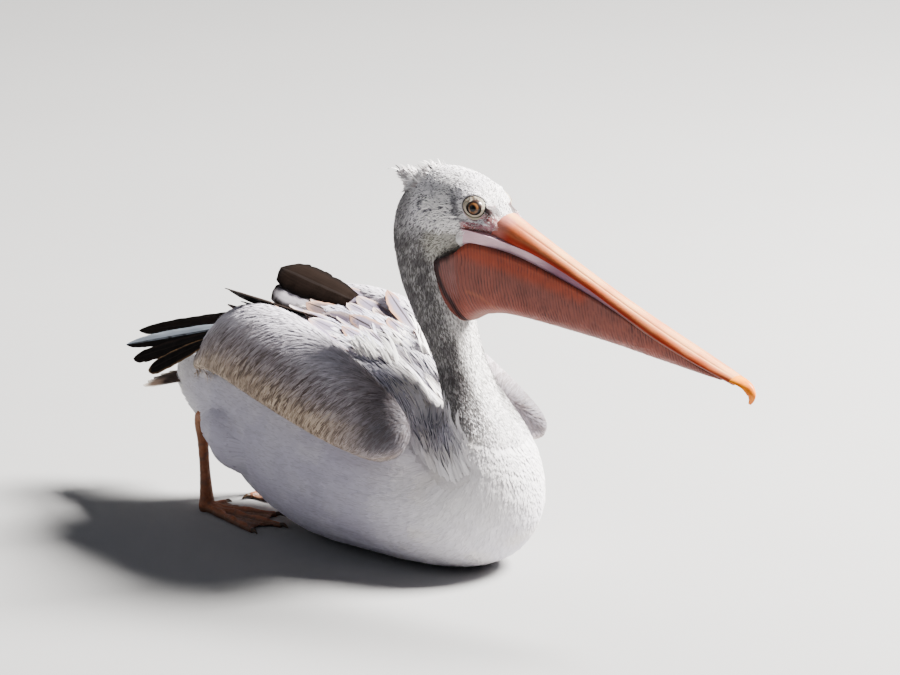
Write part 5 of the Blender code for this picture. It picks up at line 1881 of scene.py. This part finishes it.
def bladeRing(feather, s, u, rng):  # rows of points round one closed vane, from root to tip
    root, tip = np.array(feather["root"], float), np.array(feather["tip"], float)
    length = np.linalg.norm(tip - root)
    ahead = (tip - root) / length
    wide = unit(np.cross(ahead, np.array(feather["face"], float)))
    face = np.cross(wide, ahead)
    shape = np.array(bladeShapes[feather.get("shape", "round")])
    half = feather["half"] * np.interp(s, shape[:, 0], shape[:, 1])
    notch = np.ones((len(s), 2))
    for edge in range(2):
        seed = rng.integers(1000)
        rim = np.column_stack([s * length, 0 * s + edge, 0 * s])
        wave = roughField(rim, 0.006, seed) + 0.7 * roughField(rim, 0.0022, seed + 1)
        notch[:, edge] += feather.get("ragged", 0.06) * wave * ease(s, 0.15, 0.5)
    side = np.where(u[None] < 0, notch[:, :1], notch[:, 1:]) * u[None] * half[:, None]
    bend = feather.get("bend", 0.0) * length * s ** 2
    drop = -feather.get("dish", flight["dish"]) * half[:, None] * (u ** 2)[None]
    line = root + ahead * (s * length)[:, None] + face * bend[:, None]
    surface = line[:, None] + wide * side[..., None] + face * drop[..., None]
    ripple = 0.00035 * roughField(surface.reshape(-1, 3), 0.009, 81).reshape(side.shape)
    rib = flight["shaftRise"] * np.exp(-(side / flight["shaft"]) ** 2) * (1 - 0.8 * s[:, None])
    thin = flight["thick"] * (0.5 - 0.32 * u[None] ** 2) * (1 - 0.5 * s[:, None])
    top = surface + face * (ripple + rib + thin)[..., None]
    low = surface + face * (ripple - 0.6 * rib - thin)[..., None]
    return np.concatenate([top, low[:, ::-1]], axis=1)


def vaneMesh(name, feathers, rng, material, across=17, along=44):
    # Each feather gives its root, tip, half width, the way its face looks, its shape, bend and colours.
    rings, vanes, looks = [], [], []
    s = 0.5 - 0.5 * np.cos(np.linspace(0.06, math.pi, along))
    s = (s - s[0]) / (s[-1] - s[0])
    u = np.sin(np.linspace(-math.pi / 2, math.pi / 2, across))
    around = 2 * across
    for feather in feathers:
        ring = bladeRing(feather, s, u, rng)
        vane = np.zeros((along, around, 3))
        vane[..., 0] = np.concatenate([u, u[::-1]])
        vane[..., 1], vane[..., 2] = s[:, None], rng.random()
        rings.append(ring.reshape(-1, 3))
        vanes.append(vane.reshape(-1, 3))
        looks.append(feather["look"](rings[-1], vanes[-1]))
    k = np.arange(across - 1)
    base = np.column_stack([k, around - 1 - k, around - 2 - k, k + 1])
    faces = np.vstack([tubeFaces(along, around), base, base[:, ::-1] + (along - 1) * around])
    starts = np.arange(len(feathers)) * along * around
    mesh = meshFrom(name, np.concatenate(rings), faces[None] + starts[:, None, None])
    paint(mesh, "tint", np.vstack([tint for tint, _ in looks]))
    paint(mesh, "mark", np.vstack([mark for _, mark in looks]))
    note(mesh, "vane", np.concatenate(vanes))
    mesh.set_sharp_from_angle(angle=math.radians(60))
    layCells(mesh, len(feathers), across, along)
    return place(name, mesh, material)


def layCells(mesh, count, across, along):  # a cell of the map for each feather, both faces side by side
    columns = math.ceil(math.sqrt(count))
    u = np.concatenate([np.linspace(0, 0.48, across), np.linspace(0.98, 0.5, across)])
    v = np.linspace(0.02, 0.98, along)
    cell = np.stack(np.broadcast_arrays(u[None] + 0.01, v[:, None]), axis=-1).reshape(-1, 2)
    number = np.arange(count)
    home = np.column_stack([number % columns, number // columns])
    layMap(mesh, ((home[:, None] + cell[None]) / columns).reshape(-1, 2))


def markedWith(tint, mark, strength):  # a feather's colour beside the same streak at each of its points
    return tint, np.tile([*mark, strength], (len(tint), 1))


def plainLook(inner, edge, mark, strength, edgeFrom=0.55, tipFrom=0.85):
    def look(points, vane):
        rim = np.maximum(ease(np.abs(vane[:, 0]), edgeFrom, edgeFrom + 0.3), ease(vane[:, 1], tipFrom, 1.0))
        wave = 0.25 * roughField(points, 0.004, 82)
        tint = blendTo(flightTones[inner], flightTones[edge], np.clip(rim + wave * rim, 0, 1))
        return markedWith(tint, flightTones[mark], strength)
    return look


def splitLook(upper, lower, mark, strength):  # one vane darker than the other
    def look(points, vane):
        share = ease(vane[:, 0] + 0.1 * roughField(points, 0.005, 83), -0.12, 0.05)
        return markedWith(blendTo(flightTones[upper], flightTones[lower], share), flightTones[mark], strength)
    return look


flightFeather = featherMaterial("flightFeather", {
    "roughness": 0.75, "sheen": 0.0, "specular": 0.05, "lines": 9.0, "slant": 0.55, "streakWidth": 0.05,
    "streakSoft": 0.05, "streakFrom": -0.2, "streakTo": 1.15, "contrast": 0.14, "bump": 0.45,
    "bumpDepth": 0.0005})


def onSide(rows, side, face, shift):  # the rows of one side, moved by shift before they are mirrored
    flip = flips[side]
    return [{**row, "root": (row["root"] + shift) * flip, "tip": (row["tip"] + shift) * flip,
             "face": face * flip} for row in rows]


primaryFace = np.array([0.8, 0.08, 0.59])
tertialFace = np.array([-0.5, -0.1, 0.85])
primaries = [
    {"node": "primary_1", "root": (0.036, 0.16, 0.205), "tip": (0.006, 0.345, 0.157), "half": 0.0085,
     "look": plainLook("brown", "dark", "shaftDark", 0.6, 0.6), "shape": "long"},
    {"node": "primary_2", "root": (0.045, 0.17, 0.198), "tip": (0.024, 0.345, 0.145), "half": 0.0085,
     "look": splitLook("dark", "bluish", "shaftDark", 0.7), "shape": "long"},
    {"node": "primary_3", "root": (0.054, 0.18, 0.19), "tip": (0.045, 0.311, 0.14), "half": 0.009,
     "look": plainLook("dark", "brown", "shaftDark", 0.6)},
    {"node": "primary_4", "root": (0.064, 0.186, 0.182), "tip": (0.067, 0.265, 0.14), "half": 0.01,
     "look": plainLook("dark", "buff", "shaftDark", 0.6, 0.72, 0.93)},
]
tertials = [
    {"node": "tertial_1", "root": (0.018, 0.074, 0.218), "tip": (0.03, 0.178, 0.2265), "half": 0.02,
     "dish": 0.18, "look": plainLook("lilacGrey", "brown", "shaftDark", 0.9, 0.5, 0.8)},
    {"node": "tertial_2", "root": (0.032, 0.07, 0.23), "tip": (0.045, 0.186, 0.2415), "half": 0.0205,
     "dish": 0.18, "look": plainLook("brown", "dark", "shaftDark", 0.8, 0.7, 0.86)},
]
level = {"left": np.zeros(3), "right": np.zeros(3)}
tertialShift = {"left": np.zeros(3), "right": np.array([0, -0.016, -0.004])}
tail = {"root": np.array([0.0, 0.236, 0.131]), "slope": math.radians(-11), "count": 16, "spread": 25,
        "length": 0.078, "half": 0.0095}


def buildFlight():
    rng = np.random.default_rng(31)
    for side in sides:
        for label, rows, face, shift in (("primaries", primaries, primaryFace, level),
                                         ("tertials", tertials, tertialFace, tertialShift)):
            own = onSide(rows, side, face, shift[side])
            obj = vaneMesh(f"{label}_{side}", own, rng, flightFeather)
            finished(obj, "flight_feather", *[f"{row['node']}_{side}" for row in rows])
    back = np.array([0, math.cos(tail["slope"]), math.sin(tail["slope"])])
    rows = []
    for i in range(tail["count"]):
        share = (i + 0.5) / tail["count"] * 2 - 1
        turn = math.radians(tail["spread"]) * share
        heading = back * math.cos(turn) + np.array([1, 0, 0]) * math.sin(turn)
        root = tail["root"] + np.array([0.016 * share, -0.004, 0.004 - 0.003 * abs(share)])
        length = tail["length"] * (1 - 0.07 * abs(share) ** 2)
        drop = np.array([0, 0, -0.004 * share ** 2 - 0.001 * (i % 2)])
        rows.append({"root": root, "tip": root + heading * length + drop, "half": tail["half"],
                     "face": (0.25 * share, 0.2, 1.0), "bend": -0.02,
                     "look": plainLook("greyBrown", "paleEdge", "shaftDark", 0.5, 0.75, 0.86)})
    finished(vaneMesh("tailFeathers", rows, rng, flightFeather, 13, 32), "flight_feather", "tail")
    print("flight feathers built")


buildFlight()


# Shoulder feathers.
shoulder = {
    "rows": 8, "columns": 4,
    "widest": (1.8, 2.8),     # the last column ahead of, and behind, the front of the wing
    "wingFront": -0.02,
    "firstY": -0.078, "stepY": 0.0225,
    "firstX": 0.005, "stepX": 0.017,
    "length": (0.048, 0.086), "half": (0.0084, 0.0138),
    "lift": (0.0034, 0.0058),
}


def shoulderLook(rng):
    inner = blendTo(tone(118, 110, 128), tone(84, 66, 56), 0.75 * (rng.random() < 0.35))
    inner = inner * rng.uniform(0.85, 1.15)
    edge = blendTo(tone(156, 114, 86), tone(196, 184, 182), rng.random())
    strength = rng.choice([1.0, 1.0, 0.9, 0.6])

    def look(points, vane):
        rim = np.maximum(ease(np.abs(vane[:, 0]), 0.5, 0.92), ease(vane[:, 1], 0.8, 1.0))
        wave = 0.3 * roughField(points, 0.004, 84)
        base = 1 - ease(vane[:, 1], 0.05, 0.5)
        tint = blendTo(inner, edge, np.clip(rim + wave * rim, 0, 1))
        return markedWith(blendTo(tint, tone(206, 200, 202), base * 0.25), flightTones["shaftDark"], strength)
    return look


shoulderFeather = featherMaterial("shoulderFeather", {
    "roughness": 0.7, "sheen": 0.04, "specular": 0.1, "lines": 10.0, "slant": 0.5, "streakWidth": 0.075,
    "streakSoft": 0.07, "streakFrom": 0.1, "streakTo": 1.12, "contrast": 0.13, "bump": 0.5,
    "bumpDepth": 0.0005})


def surfaceBelow(x, y):  # the skin's top at a place on the bird's plan
    spot, normal, _, _ = skinTree.ray_cast(Vector((x, y, 0.3)), Vector((0, 0, -1)), 0.25)
    return (np.array(spot), np.array(normal)) if spot is not None else (None, None)


def buildShoulders():
    rng = np.random.default_rng(52)
    for side in sides:
        rows = []
        for row in range(shoulder["rows"]):
            share = row / (shoulder["rows"] - 1)
            for column in range(shoulder["columns"]):
                outward = column + 0.5 * (row % 2)
                x = shoulder["firstX"] + outward * shoulder["stepX"] + rng.normal(0, 0.001)
                y = shoulder["firstY"] + row * shoulder["stepY"] + rng.normal(0, 0.0025)
                root, normal = surfaceBelow(sides[side] * x, y)
                last = shoulder["widest"][int(y >= shoulder["wingFront"])]
                if root is None or root[2] < 0.15 or outward > last:
                    continue
                normal = np.sign(normal[2]) * normal
                length = np.interp(share, (0, 1), shoulder["length"]) * rng.uniform(0.88, 1.1)
                lean = sides[side] * (0.05 + 0.055 * column)
                flow = inPlane(np.array([[lean, 1.0, 0.0]]), normal[None])[0]
                tip, tipNormal = landing((root + flow * length)[None])
                tipNormal = tipNormal[0] * np.sign(tipNormal[0][2])
                lift = np.interp(share, (0, 1), shoulder["lift"]) * rng.uniform(0.8, 1.25)
                rows.append({"root": root + normal * 0.0004, "tip": tip[0] + tipNormal * lift,
                             "shape": "pointed",
                             "half": np.interp(share, (0, 1), shoulder["half"]) * rng.uniform(0.9, 1.1),
                             "face": unit(normal + tipNormal + rng.normal(0, 0.06, 3)), "bend": 0.03,
                             "look": shoulderLook(rng), "ragged": 0.1})
        finished(vaneMesh(f"shoulderFeathers_{side}", rows, rng, shoulderFeather, 11, 24), "covert")
    print("shoulder feathers built")


buildShoulders()


# Claws.
claw = {"length": 0.01, "gap": 0.0004, "rows": np.array([(0.0, 0.003, 0.0021), (0.4, 0.0036, 0.0018),
                                                          (0.8, 0.0022, 0.001), (1.0, 0.0012, 0.0004)])}


def buildClaws():
    horn = hornMaterial("clawHorn", 0.35, 0.2, 0.3)
    base = np.array([leg["heel"][0], leg["heel"][1], 0.0])
    rows = smoothRows(claw["rows"], 18)
    for side in sides:
        quads, caps = [], []
        for length, angle, _ in leg["toes"].values():
            path = (base + toeWay(angle) * (length - 0.0012 + (claw["gap"] + claw["length"] * rows[:, :1]))
                    + np.array([0, 0, 1.0]) * rows[:, 1:2])
            rings = tubeAlong(path, rows[:, 2], 16, 1.15) * flips[side]
            rings[..., 2] = np.maximum(rings[..., 2], 0.0001)
            points, sheet, ends = loftArrays(rings)
            quads.append((points, sheet))
            caps.append((points, ends))
        points, sheet = joined(quads)
        mesh = meshFrom(f"claws_{side}", points, sheet, joined(caps)[1])
        paint(mesh, "tint", blendTo(tone(40, 32, 28), tone(96, 76, 58),
                                    np.clip(0.4 + 0.5 * roughField(points, 0.003, 95), 0, 1)))
        nodes = [f"claw_{toe}_{side}" for toe in leg["toes"]]
        finished(place(f"claws_{side}", mesh, horn), "claw_horn", *nodes)
    print("claws built")


buildClaws()


# Floor, light and camera.
stage = {
    "target": (0.07563, -0.02619, 0.20021),
    "eye": (-4.72709, -4.82891, 1.89366),
    "lens": 280,
    "floor": 6.0,
    "floorTones": ((0.27, 0.27, 0.273), (0.29, 0.29, 0.293)),
    "keyTurn": -15, "keyRise": 46, "keyFar": 4.0, "keyPower": 2300, "keySize": 1.4,
    "fillPower": 22, "fillSize": 3.0,
    "worldLight": 0.17, "backdrop": 0.8,
}


def aimed(obj, target):
    obj.rotation_euler = (Vector(target) - obj.location).to_track_quat("-Z", "Y").to_euler()


def addLight(name, spot, power, size, colour):
    data = bpy.data.lights.new(name, "AREA")
    data.energy, data.size, data.color = power, size, colour
    obj = place(name, data)
    obj.location = spot
    aimed(obj, stage["target"])


def buildStage():
    count = 5
    spots = np.linspace(-stage["floor"], stage["floor"], count)
    grid = np.array([(x, y, 0.0) for y in spots for x in spots])
    quads = [(r * count + c, r * count + c + 1, (r + 1) * count + c + 1, (r + 1) * count + c)
             for r in range(count - 1) for c in range(count - 1)]
    made, tree, sockets = newMaterial("paleFloor", 0.8, specular=0.2)
    cloud = noiseNode(tree, objectSpot(tree), 3.0, 4.0)
    connect(tree, mixColours(tree, cloud, *stage["floorTones"]), sockets["Base Color"])
    floor = place("floor", meshFrom("floor", grid, quads=quads), made)
    world = bpy.data.worlds.new("studio")
    world.use_nodes = True
    background = world.node_tree.nodes["Background"].inputs
    background["Color"].default_value = (0.84, 0.87, 1.0, 1.0)
    # The backdrop looks paler than it lights.
    seen = addNode(world.node_tree, "ShaderNodeLightPath").outputs["Is Camera Ray"]
    strength = spanNode(world.node_tree, seen, stage["worldLight"], stage["backdrop"], 0.0, 1.0)
    connect(world.node_tree, strength, background["Strength"])
    bpy.context.scene.world = world
    target = Vector(stage["target"])
    view = Vector(stage["eye"]) - target
    sideways = Vector((-view.y, view.x, 0)).normalized()
    towards = Vector((view.x, view.y, 0)).normalized()
    turn, rise = math.radians(stage["keyTurn"]), math.radians(stage["keyRise"])
    keyWay = (sideways * math.cos(turn) + towards * math.sin(turn)) * math.cos(rise)
    keyWay += Vector((0, 0, math.sin(rise)))
    addLight("keyLight", target + keyWay * stage["keyFar"],
             stage["keyPower"], stage["keySize"], (1.0, 0.97, 0.92))
    addLight("fillLight", target + towards - sideways * 4.0 + Vector((0, 0, 2.2)),
             stage["fillPower"], stage["fillSize"], (0.9, 0.95, 1.0))
    camera = place("camera", bpy.data.cameras.new("camera"))
    camera.data.sensor_width = 36
    camera.data.lens = stage["lens"]
    camera.data.clip_end = 50
    camera.location = stage["eye"]
    aimed(camera, stage["target"])
    bpy.context.scene.camera = camera


buildStage()
print("scene made")
